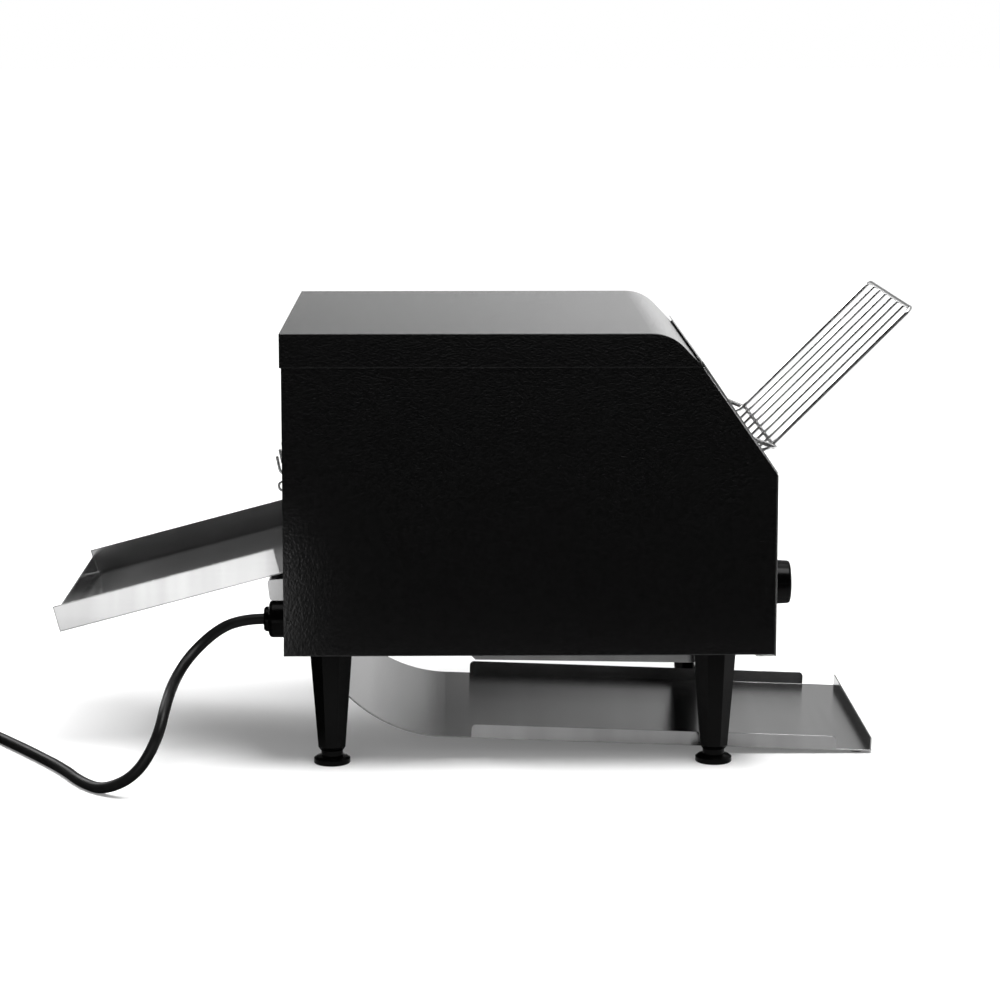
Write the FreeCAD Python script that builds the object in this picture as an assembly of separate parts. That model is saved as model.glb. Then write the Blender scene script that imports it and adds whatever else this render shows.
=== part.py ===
import FreeCAD, Part
import math
import os
from FreeCAD import Placement, Rotation, Vector

# Conveyor toaster. Millimetres, +Z up, +X towards the loading side, +Y to the right of someone
# who faces the loading side. The model is drawn about the middle of the cabinet, and moved at
# the end so that the origin lies on the table under the middle of the whole toaster.

# Cabinet outline
cabinet_half_width = 185.0
rear_x = -209.0
front_x = 208.0
base_z = 103.0
top_z = 378.0
seam_z = top_z - 28.6
bend_start_x = 101.6
bend_radius = 37.5
bend_angle = 46.5
slope_top_x = 144.2
slope_foot_z = top_z - 119.3

# Sheet thicknesses
panel_sheet = 1.2
cover_sheet = 1.2
bezel_sheet = 1.2
tray_sheet = 1.2
rim_depth = 12.0
cover_gap = 0.3
front_lip = 16.0
front_bezel_lap = 1.0
sheet_bend = 1.5

# Toasting chamber
service_space = 55.0
chamber_half_width = cabinet_half_width - service_space
belt_top_z = top_z - 131.0
chamber_top_z = top_z - 33.0
chamber_slope_gap = 6.0
chamber_foot_step = 2.0
reflector_z = chamber_top_z - 15.0
lower_reflector_z = belt_top_z - 34.0
element_radius = 5.0
element_cap_radius = 8.0
element_cap_body = 6.5
filament_radius = 1.4
element_cap_hole = 6.6
element_cap_length = 14.0
element_cap_inside = 4.0
element_end = 2.0
element_wall = 1.0
element_count = 3
element_pitch = 78.0
element_first_x = -72.0
reflector_rear_reach = 60.0
reflector_front_reach = 44.0
reflector_rear_wing = (14.0, 24.0)
reflector_front_wing = (12.0, 20.0)
lower_reflector_wing = (6.0, 8.0)
reflector_belt_gap = 12.0
chamber_rear_cut = 50.0
gland_notch_gap = (4.0, 8.0)
upper_element_z = belt_top_z + 57.0
lower_element_z = belt_top_z - 18.0

# Wire belt and its shafts
belt_pitch = 15.875
belt_teeth = 8
belt_straight_pitches = 17
belt_half_width = chamber_half_width - 13.0
belt_wire_radius = 0.9
belt_hook_gap = 0.3
front_shaft_x = 150.0
shaft_radius = 5.0
shaft_clearance = 0.05
bush_radius = 8.0
bush_flange_radius = 11.0
bush_flange = 2.0
sprocket_thickness = 5.0
sprocket_offsets = (35.0, belt_half_width - 19.0)
sprocket_notch_gap = 0.35
sprocket_tip = 2.5
sprocket_hub = 12.0
hub_wall = 3.0
bush_inside = 2.0
shaft_end_gap = 0.5
shaft_reach = 1.0
collar_width = 3.0
collar_rise = 2.5

# Chain drive
chain_pitch = 12.7
chain_teeth = 8
chain_straight_pitches = int((belt_top_z - base_z - 66.0) / chain_pitch)
chain_roller_radius = 3.6
chain_plate_height = 9.0
chain_notch_gap = 0.2
chain_tooth_tip = 0.5
chain_plate_gap = 0.1
chain_plate_thickness = 1.0
chain_inner_width = 4.8
chain_sprocket_thickness = 4.2
chain_y = chamber_half_width + 9.5
motor_shaft_radius = 4.0
motor_plate_y = chain_y + 6.0
motor_can_radius = 24.0
gearbox_width = 60.0
gearbox_height = 50.0
gearbox_depth = 20.0
motor_plate_margin = (6.0, 4.0)
motor_post_radius = 4.0
motor_post_inset = 5.0
motor_shaft_hole_gap = 3.0
motor_bore_roof = 4.0
motor_end_gap = 1.0

# Loading opening and its frame
bezel_top_stand = 3.0
bezel_foot_stand = 1.2
bezel_overlap = 3.9
inlet_half_width = chamber_half_width - 1.0
inlet_foot = 5.0
inlet_height = 73.0
inlet_corner = 6.0
inlet_lip = 7.0

# Wire loading rack
rack_angle = 45.0
rack_half_width = inlet_half_width - 8.5
rack_outer_radius = 2.0
rack_inner_radius = 1.35
rack_inner_count = 6
rack_top_x = 328.6
rack_line_height = slope_foot_z - 195.3
rack_corner = 8.0
rack_weld = 0.4
rack_foot_x = 208.0
rack_foot_length = 23.0
rack_foot_angle = 15.0
rack_inner_end_x = 178.0
rack_cross_x = 210.7
rack_arm_length = 28.0
rack_arm_angle = 22.0
rack_arm_y = rack_half_width + 4.2
rack_arm_bend = 4.0
rack_pin_radius = 2.5
rack_pin_gap = 0.3
rack_pin_lap = 3.0
rack_arm_pin_lap = 1.0

# Rear opening, wire gate and rear tray
rear_opening_half_width = chamber_half_width - 4.0
rear_opening_z0 = 165.2
rear_opening_z1 = belt_top_z + 28.0
gate_x = -200.0
gate_pivot_z = belt_top_z - 1.0
gate_pivot_end = chamber_half_width + 1.0
gate_tip_knee_x = -214.2
gate_tip_knee_z = gate_pivot_z + 4.6
gate_tip_x = -217.0
gate_tip_z = gate_pivot_z + 18.5
gate_bend = 5.0
gate_foot_z = 172.0
gate_wire_radius = 1.25
gate_pivot_radius = 2.0
gate_wire_count = 7
gate_half_width = belt_half_width + 1.0
gate_loop_radius = 4.2
gate_loop_wire = 1.1
gate_loop_z = gate_pivot_z - 7.4
gate_loop_reach = 15.5
tray_half_width = chamber_half_width + 0.5
tray_angle = 14.84
tray_reach = 204.3
tray_floor_height = 165.54
tray_flange_length = 197.9
tray_flange_height = 23.0
tray_end_height = 16.5
tray_corner_gap = 1.2
tray_seat_gap = 0.3
tongue_half_width = rear_opening_half_width - 7.0
tongue_lip_x = -201.8
tongue_lip_depth = 25.0
bracket_half_width = tray_half_width + 9.5
bracket_reach = 17.6
bracket_height = 18.1
bracket_top_z = 160.2
bracket_lean = 2.2
bracket_rise = 1.2
bracket_corner = 3.0
bracket_sheet = 1.5

# Toast chute and guides
chute_half_width = chamber_half_width - 8.0
chute_front_x = 301.0
chute_front_z = 2.0
chute_slope = 2.2
chute_bend_x = -73.0
chute_bend_radius = 126.0
chute_flange_x0 = -50.0
chute_flange_x1 = 270.0
chute_flange_height = 12.5
chute_end_height = 11.6
chute_corner = 4.0
chute_top_gap = 0.8
chute_seat_gap = 0.4
chute_pad_inset = 12.0
chute_pad_radius = 6.0
guide_top_z = belt_top_z - 79.0
inner_guide_x = -97.0
inner_guide_foot = 14.0
inner_guide_lean = (10.0, 16.0)
inner_guide_top_z = belt_top_z - 51.0

# Base plate and crumb tray
base_flange = 12.0
base_edge_gap = 1.0
chute_seat_depth = 8.0
chute_seat_leg_gap = 2.0
toast_opening_half_width = chute_half_width + 3.0
crumb_opening_x0 = -44.0
crumb_opening_x1 = 146.0
crumb_half_width = chute_half_width - 9.0
crumb_opening_half_width = crumb_half_width - 5.0
crumb_x0 = -50.0
crumb_x1 = 178.0
crumb_rear_z = 83.4
crumb_slope = 1.0
crumb_flange = 5.0
crumb_flange_z = base_z - panel_sheet - cover_gap - 0.3
crumb_corner = 4.0
crumb_sheet = 1.0
crumb_pull = 12.0
crumb_pull_half = 50.0
crumb_pull_lip = 6.0
runner_gap = 0.3
runner_sheet = 1.0
runner_lip = 4.0
runner_reach = 2.0

# Legs and levelling feet
leg_rear_x = -170.4
leg_front_x = 160.3
leg_y = cabinet_half_width - 42.0
leg_collar_width = 40.0
leg_collar_height = 3.5
leg_top_width = 36.0
leg_bottom_width = 23.3
leg_bottom_z = 15.1
leg_end_width = 19.0
leg_end_z = 11.8
foot_radius = 15.75
foot_wall = 4.4
foot_dome = 2.6
foot_neck_radius = 9.4
foot_neck_z = 11.6
foot_edge = 0.6
foot_shoulder = (0.6, 0.86)
foot_stem_radius = 4.95
foot_bore_clearance = 0.05
foot_stem_top = 52.0
foot_bore_top = 58.0
leg_bolt_radius = 3.0
leg_bolt_depth = 22.0

# Front controls
control_y = cabinet_half_width - 85.0
control_z = 149.2
knob_radius = 19.8
knob_height = 20.5
knob_taper = 1.0
knob_edge = 2.2
knob_panel_gap = 0.4
knob_bore = 12.0
knob_mark_depth = 0.6
knob_mark_width = 1.4
control_depth = 26.0
control_half = 17.0
control_shaft_radius = 3.0
control_shaft_gap = 0.05
control_nose_radius = 4.6
hole_gap = 0.2
lamp_y = 28.0
lamp_radius = 6.0
lamp_stand = 3.5
lamp_depth = 14.0
lamp_rim = 1.0
lamp_round = 1.4
control_wall = 5.0
box_wall_x = 152.0
box_wall_top_z = lower_reflector_z - 21.0
box_front_z = slope_foot_z - 36.7

# Cooling fan behind the vent slots of the right side
fan_size = 80.0
fan_depth = 25.0
fan_x = 62.0
fan_z = 176.0
fan_bore = 37.0
fan_blade_radius = 35.5
fan_hub_radius = 16.0
fan_blades = 7
fan_blade_thickness = 1.6
fan_blade_twist = 38.0
fan_arm = 3.0
fan_arm_half = 2.0
fan_arm_turns = (45, 135)
fan_axle_radius = 2.0
fan_axle_end = 8.0
fan_rotor_gap = 3.0
fan_hub_roof = 4.0
fan_blade_margin = 1.0
vent_slots = 9
vent_slot_width = 4.0
vent_pitch = 8.0
vent_length = 66.0
terminal_x = -130.0
terminal_y = 25.0 - cabinet_half_width
terminal_length = 56.0
terminal_ways = 4
terminal_half = 10.0
terminal_height = 20.0
terminal_screw_radius = 2.4
terminal_screw_depth = 2.0
terminal_screw_y = 5.0

# Cable gland, cord, coil and plug
gland_y = 48.0 - cabinet_half_width
gland_z = 125.6
gland_radius = 16.0
gland_length = 16.2
gland_dome_radius = 10.8
gland_dome_length = 4.2
gland_corner = 3.0
gland_dome_bevel = 1.5
gland_thread_radius = 9.5
gland_inside = 7.0
gland_nut_radius = 14.0
gland_nut_depth = 5.0
cord_diameter = 9.4
cord_lead = 14.8
coil_outer_radius = 62.0
coil_pitch = 10.0
coil_in_turns = 1.0
coil_turns = 2.5
coil_out_pitch = 15.0
coil_layer_gap = 0.5
tail_length = 45.0
tail_sway = 0.6
plug_length = 38.0
plug_width = 27.0
plug_height = 23.0
plug_relief = 24.0
plug_relief_walls = (1.2, 2.2, 3.4)
plug_axis_z = 12.5
plug_corner = 4.0
blade_length = 17.5
blade_thickness = 1.5
blade_width = 6.35
blade_pitch = 12.7
blade_up = 4.0
earth_radius = 2.4
earth_length = 20.6
earth_drop = 5.0

# Worked out from the values above
cord_radius = cord_diameter / 2
slope_rise = seam_z - slope_foot_z
slope_run = front_x - slope_top_x
slope_length = math.hypot(slope_rise, slope_run)
slope_up = Vector(-slope_run / slope_length, 0, slope_rise / slope_length)
slope_out = Vector(slope_rise / slope_length, 0, slope_run / slope_length)
slope_foot = Vector(front_x, 0, slope_foot_z)
side_outer_y = cabinet_half_width - cover_sheet
side_inner_y = side_outer_y - panel_sheet
rear_panel_x = rear_x + panel_sheet
rear_inner_x = rear_panel_x + panel_sheet
base_top_z = base_z + panel_sheet
chamber_outer_y = chamber_half_width + panel_sheet
belt_radius = belt_pitch / (2 * math.sin(math.pi / belt_teeth))
shaft_z = belt_top_z - belt_radius
rear_shaft_x = front_shaft_x - belt_straight_pitches * belt_pitch
chain_radius = chain_pitch / (2 * math.sin(math.pi / chain_teeth))
motor_z = shaft_z - chain_straight_pitches * chain_pitch
tray_tilt = math.radians(tray_angle)
chute_tilt = math.radians(chute_slope)
chute_bend_z = chute_front_z + (chute_front_x - chute_bend_x) * math.tan(chute_tilt)
chute_centre_x = chute_bend_x + chute_bend_radius * math.sin(chute_tilt)
chute_centre_z = chute_bend_z + chute_bend_radius * math.cos(chute_tilt)
rear_tray_end_x = rear_panel_x - tray_reach * math.cos(tray_tilt)
rack_end_x = rack_top_x + rack_outer_radius
tray_end_lean = tray_flange_height * math.sin(tray_tilt)
origin_x = (rear_tray_end_x - tray_end_lean + rack_end_x) / 2


# Small building blocks

def box(x0, x1, y0, y1, z0, z1):
    return Part.makeBox(x1 - x0, y1 - y0, z1 - z0, Vector(x0, y0, z0))


def rod(start, end, radius):
    way = end - start
    return Part.makeCylinder(radius, way.Length, start, way)


def rod_y(x, z, y0, y1, radius):
    return rod(Vector(x, y0, z), Vector(x, y1, z), radius)


def rod_x(x0, x1, y, z, radius):
    return rod(Vector(x0, y, z), Vector(x1, y, z), radius)


def rounded_wire(points, radii):
    """Straight runs through the points, with an arc of the given radius at each inner point."""
    edges = []
    start = points[0]
    for before, corner, after, radius in zip(points, points[1:], points[2:], radii):
        back = (before - corner).normalize()
        ahead = (after - corner).normalize()
        half_turn = (math.pi - back.getAngle(ahead)) / 2
        if radius * half_turn < 1e-6:
            edges.append(Part.LineSegment(start, corner).toShape())
            start = corner
            continue
        reach = radius * math.tan(half_turn)
        bisector = (back + ahead).normalize()
        middle = corner + bisector * (radius / math.cos(half_turn) - radius)
        first = corner + back * reach
        last = corner + ahead * reach
        edges.append(Part.LineSegment(start, first).toShape())
        edges.append(Part.Arc(first, middle, last).toShape())
        start = last
    edges.append(Part.LineSegment(start, points[-1]).toShape())
    return Part.Wire(edges)


def bent_wire(corners, bend):
    """An open line in the XZ plane through (x, z) corners, each bend of one radius."""
    points = [Vector(x, 0, z) for x, z in corners]
    return rounded_wire(points, [bend] * (len(points) - 2))


def closed_outline(corners, bend=0.0):
    """A closed XZ outline through (x, z) corners, with rounded corners but for the first."""
    points = [Vector(x, 0, z) for x, z in corners]
    points.append(points[0])
    return rounded_wire(points, [bend] * (len(points) - 2))


def across(face, y0, y1):
    """An XZ face drawn out from y0 to y1."""
    moved = face.copy()
    moved.translate(Vector(0, y0, 0))
    return moved.extrude(Vector(0, y1 - y0, 0))


def plate(wire, y0, y1):
    return across(Part.Face(wire), y0, y1)


def sheet(wire, thickness, y0, y1):
    """Bent sheet: the line thickened to its left for a positive thickness."""
    return across(wire.makeOffset2D(thickness, join=2, fill=True, openResult=True), y0, y1)


def mirrored(shape):
    return shape.mirror(Vector(0, 0, 0), Vector(0, 1, 0))


def both_sides(shape):
    return [shape, mirrored(shape)]


def fuse(shapes):
    return shapes[0].multiFuse(shapes[1:]) if len(shapes) > 1 else shapes[0]


def tube(points, bends, radius):
    """Round bar along straight runs, with an arc of the given radius at each inner point."""
    ring = Part.Wire(Part.makeCircle(radius, points[0], points[1] - points[0]))
    return rounded_wire(points, bends).makePipeShell([ring], True, False)


def turned(points, origin, axis_direction, side):
    """Revolved solid from (along, radius) points measured from the origin."""
    corners = [origin + axis_direction * along + side * radius for along, radius in points]
    corners.append(corners[0])
    return Part.Face(Part.makePolygon(corners)).revolve(origin, axis_direction, 360)


# Cabinet shells

def cover_line(inset, rear_edge_x, first_z):
    """Cover section from its rear edge over the top and the bend to the end of its tail."""
    turn = math.radians(bend_angle)
    radius = bend_radius - inset
    centre_z = top_z - bend_radius
    tail_x = bend_start_x + radius * math.sin(turn)
    tail_z = centre_z + radius * math.cos(turn)
    half = turn / 2
    end_x = tail_x + (tail_z - seam_z) / math.tan(turn)
    flat_z = top_z - inset
    crown = Vector(bend_start_x + radius * math.sin(half), 0, centre_z + radius * math.cos(half))
    rear_top = Vector(rear_edge_x, 0, flat_z)
    bend_start = Vector(bend_start_x, 0, flat_z)
    tail_start = Vector(tail_x, 0, tail_z)
    return [
        Part.LineSegment(Vector(rear_edge_x, 0, first_z), rear_top).toShape(),
        Part.LineSegment(rear_top, bend_start).toShape(),
        Part.Arc(bend_start, crown, tail_start).toShape(),
        Part.LineSegment(tail_start, Vector(end_x, 0, seam_z)).toShape(),
    ]


def cover_rear_x():
    return rear_x - cover_sheet - cover_gap


def make_top_cover():
    outer = cover_line(0, cover_rear_x(), seam_z)
    skin = sheet(Part.Wire(outer), -cover_sheet, -cabinet_half_width, cabinet_half_width)
    closing = Part.LineSegment(outer[-1].Vertexes[-1].Point, outer[0].Vertexes[0].Point).toShape()
    cheek = plate(Part.Wire(outer + [closing]), side_outer_y, cabinet_half_width)
    below = box(front_x - 100, front_x, -cabinet_half_width, cabinet_half_width, base_z, seam_z)
    return fuse([skin] + both_sides(cheek)).cut(below).removeSplitter()


def side_outline(first_z):
    inset = cover_sheet + cover_gap
    edges = cover_line(inset, rear_x, first_z)
    tail_end = edges[-1].Vertexes[-1].Point
    slope_top = Vector(slope_top_x, 0, seam_z)
    foot = Vector(front_x, 0, first_z)
    edges.append(Part.LineSegment(tail_end, slope_top).toShape())
    edges.append(Part.LineSegment(slope_top, slope_foot).toShape())
    edges.append(Part.LineSegment(slope_foot, foot).toShape())
    edges.append(Part.LineSegment(foot, Vector(rear_x, 0, first_z)).toShape())
    return Part.Wire(edges)


def make_side_panel():
    """Left side: a flat sheet whose rear, top, slope and front edges are folded inwards."""
    skin = plate(side_outline(base_z), side_inner_y, side_outer_y)
    outline = side_outline(base_top_z + cover_gap)
    inner = outline.makeOffset2D(-panel_sheet, join=2)
    if Part.Face(inner).Area > Part.Face(outline).Area:
        inner = outline.makeOffset2D(panel_sheet, join=2)
    rim = across(Part.Face(outline).cut(Part.Face(inner)), side_outer_y - rim_depth, side_inner_y)
    foot_z = base_top_z + cover_gap
    rim = rim.cut(box(rear_panel_x, front_x - panel_sheet, 0, side_outer_y, foot_z, foot_z + 2))
    return mirrored(skin.fuse(rim).removeSplitter())


def make_right_side():
    panel = mirrored(make_side_panel())
    slots = []
    for number in range(vent_slots):
        z = fan_z + (number - (vent_slots - 1) / 2) * vent_pitch
        slots.append(box(fan_x - vent_length / 2, fan_x + vent_length / 2,
                         side_inner_y - 1, side_outer_y + 1,
                         z - vent_slot_width / 2, z + vent_slot_width / 2))
    return panel.cut(slots)


def make_rear_panel():
    top = top_z - 2 * (cover_sheet + cover_gap)
    panel = box(rear_panel_x, rear_inner_x, -side_inner_y, side_inner_y, base_z, top)
    opening = box(rear_panel_x - 1, rear_inner_x + 1, -rear_opening_half_width,
                  rear_opening_half_width, rear_opening_z0, rear_opening_z1)
    entry = rod_x(rear_panel_x - 1, rear_inner_x + 1, gland_y, gland_z,
                  gland_thread_radius + hole_gap)
    return panel.cut([opening, entry])


def make_front_panel():
    lip_z = base_z - cover_gap
    line = bent_wire([(front_x - front_lip, lip_z), (front_x, lip_z),
                      (front_x, slope_foot_z - front_bezel_lap)], 0)
    panel = sheet(line, -panel_sheet, -side_outer_y, side_outer_y)
    holes = []
    for y, radius in ((control_y, control_nose_radius), (lamp_y, lamp_radius)):
        for side in (-1, 1):
            holes.append(rod_x(front_x - 2, front_x + 3, side * y, control_z, radius + hole_gap))
    return panel.cut(holes)


def slope_point(along, stand):
    return slope_foot + slope_up * along + slope_out * stand


def make_slope_bezel():
    """Stainless frame on the slope. Its folded side edges close the gap to the side panels."""
    top_along = slope_length + bezel_overlap
    foot_outer = slope_point(0, bezel_foot_stand)
    top_outer = slope_point(top_along, bezel_top_stand)
    foot_inner = slope_point(0, bezel_foot_stand - bezel_sheet)
    top_inner = slope_point(top_along, bezel_top_stand - bezel_sheet)
    section = Part.makePolygon([foot_outer, top_outer, top_inner, foot_inner, foot_outer])
    skin = plate(section, -side_outer_y, side_outer_y)
    cheek_along = slope_length - bezel_sheet
    edge = Part.makePolygon([slope_foot, foot_outer,
                             slope_point(cheek_along, bezel_top_stand - bezel_sheet),
                             slope_point(cheek_along, 0), slope_foot])
    cheek = plate(edge, side_inner_y, side_outer_y)
    skin = skin.fuse(both_sides(cheek))
    window = Part.makeBox(inlet_height, 2 * inlet_half_width, 20)
    upright = [edge for edge in window.Edges if abs(edge.tangentAt(0).z) > 0.9]
    window = window.makeFillet(inlet_corner, upright)
    window.translate(Vector(inlet_foot, -inlet_half_width, -10))
    turn = Rotation(Vector(0, 1, 0), -(90 + math.degrees(math.atan2(slope_run, slope_rise))))
    window.Placement = Placement(slope_foot, turn).multiply(window.Placement)
    back = bezel_foot_stand - bezel_sheet / 2
    lip = [slope_point(inlet_foot, back), slope_point(inlet_foot - bezel_sheet, back),
           slope_point(inlet_foot - bezel_sheet, back - inlet_lip),
           slope_point(inlet_foot, back - inlet_lip)]
    half = inlet_half_width - 2 * inlet_corner
    return_lip = plate(Part.makePolygon(lip + lip[:1]), -half, half)
    return skin.cut(window).fuse(return_lip).removeSplitter()


# Inside walls and sheets

def chamber_outline():
    lean = slope_run / slope_rise
    def slope_x(z):
        return front_x - (z - slope_foot_z) * lean - chamber_slope_gap
    notch_x = rear_inner_x + gland_nut_depth + gland_notch_gap[0]
    notch_z = gland_z + gland_nut_radius + gland_notch_gap[1]
    return closed_outline([
        (rear_inner_x, notch_z), (notch_x, notch_z), (notch_x, base_top_z),
        (front_x, base_top_z), (front_x, slope_foot_z - chamber_slope_gap),
        (slope_x(slope_foot_z - chamber_foot_step), slope_foot_z - chamber_foot_step),
        (slope_x(chamber_top_z), chamber_top_z),
        (rear_inner_x + chamber_rear_cut, chamber_top_z), (rear_inner_x, reflector_z)])


def element_places():
    return [(element_first_x + number * element_pitch, z)
            for z in (upper_element_z, lower_element_z) for number in range(element_count)]


def rack_foot_pin():
    """Centre of the pin that the outer wire's bent foot rests on."""
    turn = math.radians(rack_foot_angle)
    along = rack_foot_length * 0.75
    x = rack_foot_x - along * math.cos(turn)
    z = rack_foot_x + rack_line_height - along * math.sin(turn)
    down = rack_outer_radius + rack_pin_radius + rack_pin_gap
    return x + down * math.sin(turn), z - down * math.cos(turn)


def rack_cross_point():
    """Centre of the lower cross wire, which lies under the inner wires."""
    turn = math.radians(rack_angle)
    under = rack_outer_radius + rack_inner_radius - rack_weld
    return (rack_cross_x + under * math.sin(turn),
            rack_cross_x + rack_line_height - under * math.cos(turn))


def rack_arm_tip():
    turn = math.radians(rack_arm_angle)
    x, z = rack_cross_point()
    return x - rack_arm_length * math.cos(turn), z + rack_arm_length * math.sin(turn)


def rack_arm_pin():
    """Centre of the pin that holds the arm's tip down, square to the way the rack lifts."""
    x, z = rack_arm_tip()
    reach = (rack_outer_radius + rack_pin_radius + rack_pin_gap) / math.sqrt(2)
    return x - reach, z + reach


def make_chamber_wall():
    wall = plate(chamber_outline(), chamber_half_width, chamber_outer_y)
    y0 = chamber_half_width - 1
    y1 = chamber_outer_y + 1
    holes = [rod_y(x, shaft_z, y0, y1, bush_radius) for x in (rear_shaft_x, front_shaft_x)]
    holes += [rod_y(x, z, y0, y1, element_cap_hole) for x, z in element_places()]
    holes.append(rod_y(gate_x, gate_pivot_z, y0, y1, gate_pivot_radius + shaft_clearance))
    wall = wall.cut(holes)
    foot_x, foot_z = rack_foot_pin()
    arm_x, arm_z = rack_arm_pin()
    pins = [
        rod_y(foot_x, foot_z, rack_half_width - rack_pin_lap, chamber_half_width, rack_pin_radius),
        rod_y(arm_x, arm_z, rack_half_width + rack_arm_pin_lap, chamber_half_width, rack_pin_radius),
    ]
    return wall.fuse(pins).removeSplitter()


def make_upper_reflector():
    x0 = element_first_x - reflector_rear_reach
    x1 = element_first_x + (element_count - 1) * element_pitch + reflector_front_reach
    rear_out, rear_down = reflector_rear_wing
    front_out, front_down = reflector_front_wing
    line = bent_wire([(x0 - rear_out, reflector_z - rear_down), (x0, reflector_z),
                      (x1, reflector_z), (x1 + front_out, reflector_z - front_down)], sheet_bend)
    return sheet(line, panel_sheet, -chamber_half_width, chamber_half_width)


def make_lower_reflector():
    x0 = rear_shaft_x + belt_radius + reflector_belt_gap
    x1 = front_shaft_x - belt_radius - reflector_belt_gap
    wing, up = lower_reflector_wing
    line = bent_wire([(x0, lower_reflector_z + up), (x0 + wing, lower_reflector_z),
                      (x1 - wing, lower_reflector_z), (x1, lower_reflector_z + up)], sheet_bend)
    return sheet(line, -panel_sheet, -chamber_half_width, chamber_half_width)


def make_control_box():
    line = bent_wire([(front_x - panel_sheet, box_front_z), (box_wall_x, box_wall_top_z),
                      (box_wall_x, base_top_z)], sheet_bend)
    return sheet(line, panel_sheet, -chamber_half_width, chamber_half_width)


def make_outer_guide():
    """Curved sheet that turns the falling toast down onto the chute."""
    start_z = base_top_z + cover_gap
    drop = chute_centre_z - start_z
    radius = chute_bend_radius
    start = Vector(chute_centre_x - math.sqrt(radius ** 2 - drop ** 2), 0, start_z)
    half = math.asin(drop / radius) / 2
    middle = Vector(chute_centre_x - radius * math.cos(half), 0,
                    chute_centre_z - radius * math.sin(half))
    end = Vector(chute_centre_x - radius, 0, chute_centre_z)
    line = Part.Wire([Part.Arc(start, middle, end).toShape(),
                      Part.LineSegment(end, Vector(end.x, 0, guide_top_z)).toShape()])
    return sheet(line, -tray_sheet, -chamber_half_width, chamber_half_width)


def make_inner_guide():
    out, down = inner_guide_lean
    line = bent_wire([(inner_guide_x + inner_guide_foot, base_top_z),
                      (inner_guide_x, base_top_z), (inner_guide_x, inner_guide_top_z - down),
                      (inner_guide_x + out, inner_guide_top_z)], 0)
    return sheet(line, -tray_sheet, -chamber_half_width, chamber_half_width)


def chute_top():
    """Upper end of the chute's outer face, just below the base plate."""
    z = base_z - chute_top_gap
    drop = chute_centre_z - z
    return chute_centre_x - math.sqrt(chute_bend_radius ** 2 - drop ** 2), z


def make_base_plate():
    floor = box(rear_inner_x, front_x, -side_inner_y, side_inner_y, base_z, base_top_z)
    edge = box(rear_inner_x + base_edge_gap, front_x - panel_sheet - base_edge_gap,
               side_inner_y - panel_sheet, side_inner_y, base_z, base_z + base_flange)
    seat_x = chute_top()[0] - chute_seat_gap
    seat_half = leg_y - leg_collar_width / 2 - chute_seat_leg_gap
    seat = box(seat_x - panel_sheet, seat_x, -seat_half, seat_half,
               base_z - chute_seat_depth, base_z)
    toast_way = box(seat_x, inner_guide_x, -toast_opening_half_width,
                    toast_opening_half_width, base_z - 1, base_top_z + 1)
    crumb_way = box(crumb_opening_x0, crumb_opening_x1, -crumb_opening_half_width,
                    crumb_opening_half_width, base_z - 1, base_top_z + 1)
    holes = [Part.makeCylinder(leg_bolt_radius + hole_gap, 3, Vector(x, y, base_z - 1))
             for x, y in leg_places()]
    plate_shape = fuse([floor, seat] + both_sides(edge))
    return plate_shape.cut([toast_way, crumb_way] + holes).removeSplitter()


def make_runners():
    lip_z = crumb_flange_z - crumb_sheet - runner_gap - runner_sheet
    inner = crumb_half_width + crumb_flange + runner_gap
    web = box(crumb_x0 - runner_reach, crumb_x1, inner, inner + runner_sheet, lip_z, base_z)
    lip = box(crumb_x0 - runner_reach, crumb_x1, inner - runner_lip, inner, lip_z,
              lip_z + runner_sheet)
    return both_sides(web.fuse(lip).removeSplitter())


# Belt, shafts and drive

def loop_places(pitch, teeth, straight, radius):
    """Places (along, up, direction) of the joints of a loop round two equal wheels.

    The loop runs along its own first axis from the wheel at 0 to the wheel at straight * pitch.
    """
    places = []
    for number in range(straight):
        places.append((number * pitch, radius, 0.0))
    for number in range(teeth // 2):
        angle = math.pi / 2 - number * 2 * math.pi / teeth
        turn = -(number + 0.5) * 360 / teeth
        places.append((straight * pitch + radius * math.cos(angle), radius * math.sin(angle),
                       turn))
    for number in range(straight):
        places.append(((straight - number) * pitch, -radius, 180.0))
    for number in range(teeth // 2):
        angle = -math.pi / 2 - number * 2 * math.pi / teeth
        turn = 180 - (number + 0.5) * 360 / teeth
        places.append((radius * math.cos(angle), radius * math.sin(angle), turn))
    return places


def belt_strand():
    """One strand: a wire across, its two ends bent along the belt and hooked round the next."""
    hook = 2 * belt_wire_radius + belt_hook_gap
    inboard = belt_half_width - hook - belt_hook_gap
    ahead = belt_pitch + hook
    rise = hook * 1.15
    left = [Vector(belt_pitch - 0.7 * hook, -inboard, -hook), Vector(ahead, -inboard, -hook),
            Vector(ahead, -inboard, rise), Vector(0, -belt_half_width, 0)]
    right = [Vector(point.x, -point.y, point.z) for point in reversed(left)]
    ring = Part.Wire(Part.makeCircle(belt_wire_radius, left[0], left[1] - left[0]))
    return Part.makePolygon(left + right).makePipeShell([ring], True, False, 1)


def make_conveyor_belt():
    strand = belt_strand()
    strands = []
    for along, up, turn in loop_places(belt_pitch, belt_teeth, belt_straight_pitches,
                                       belt_radius):
        copy = strand.copy()
        where = Vector(rear_shaft_x + along, 0, shaft_z + up)
        copy.Placement = Placement(where, Rotation(Vector(0, 1, 0), -turn))
        strands.append(copy)
    return strands


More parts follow.
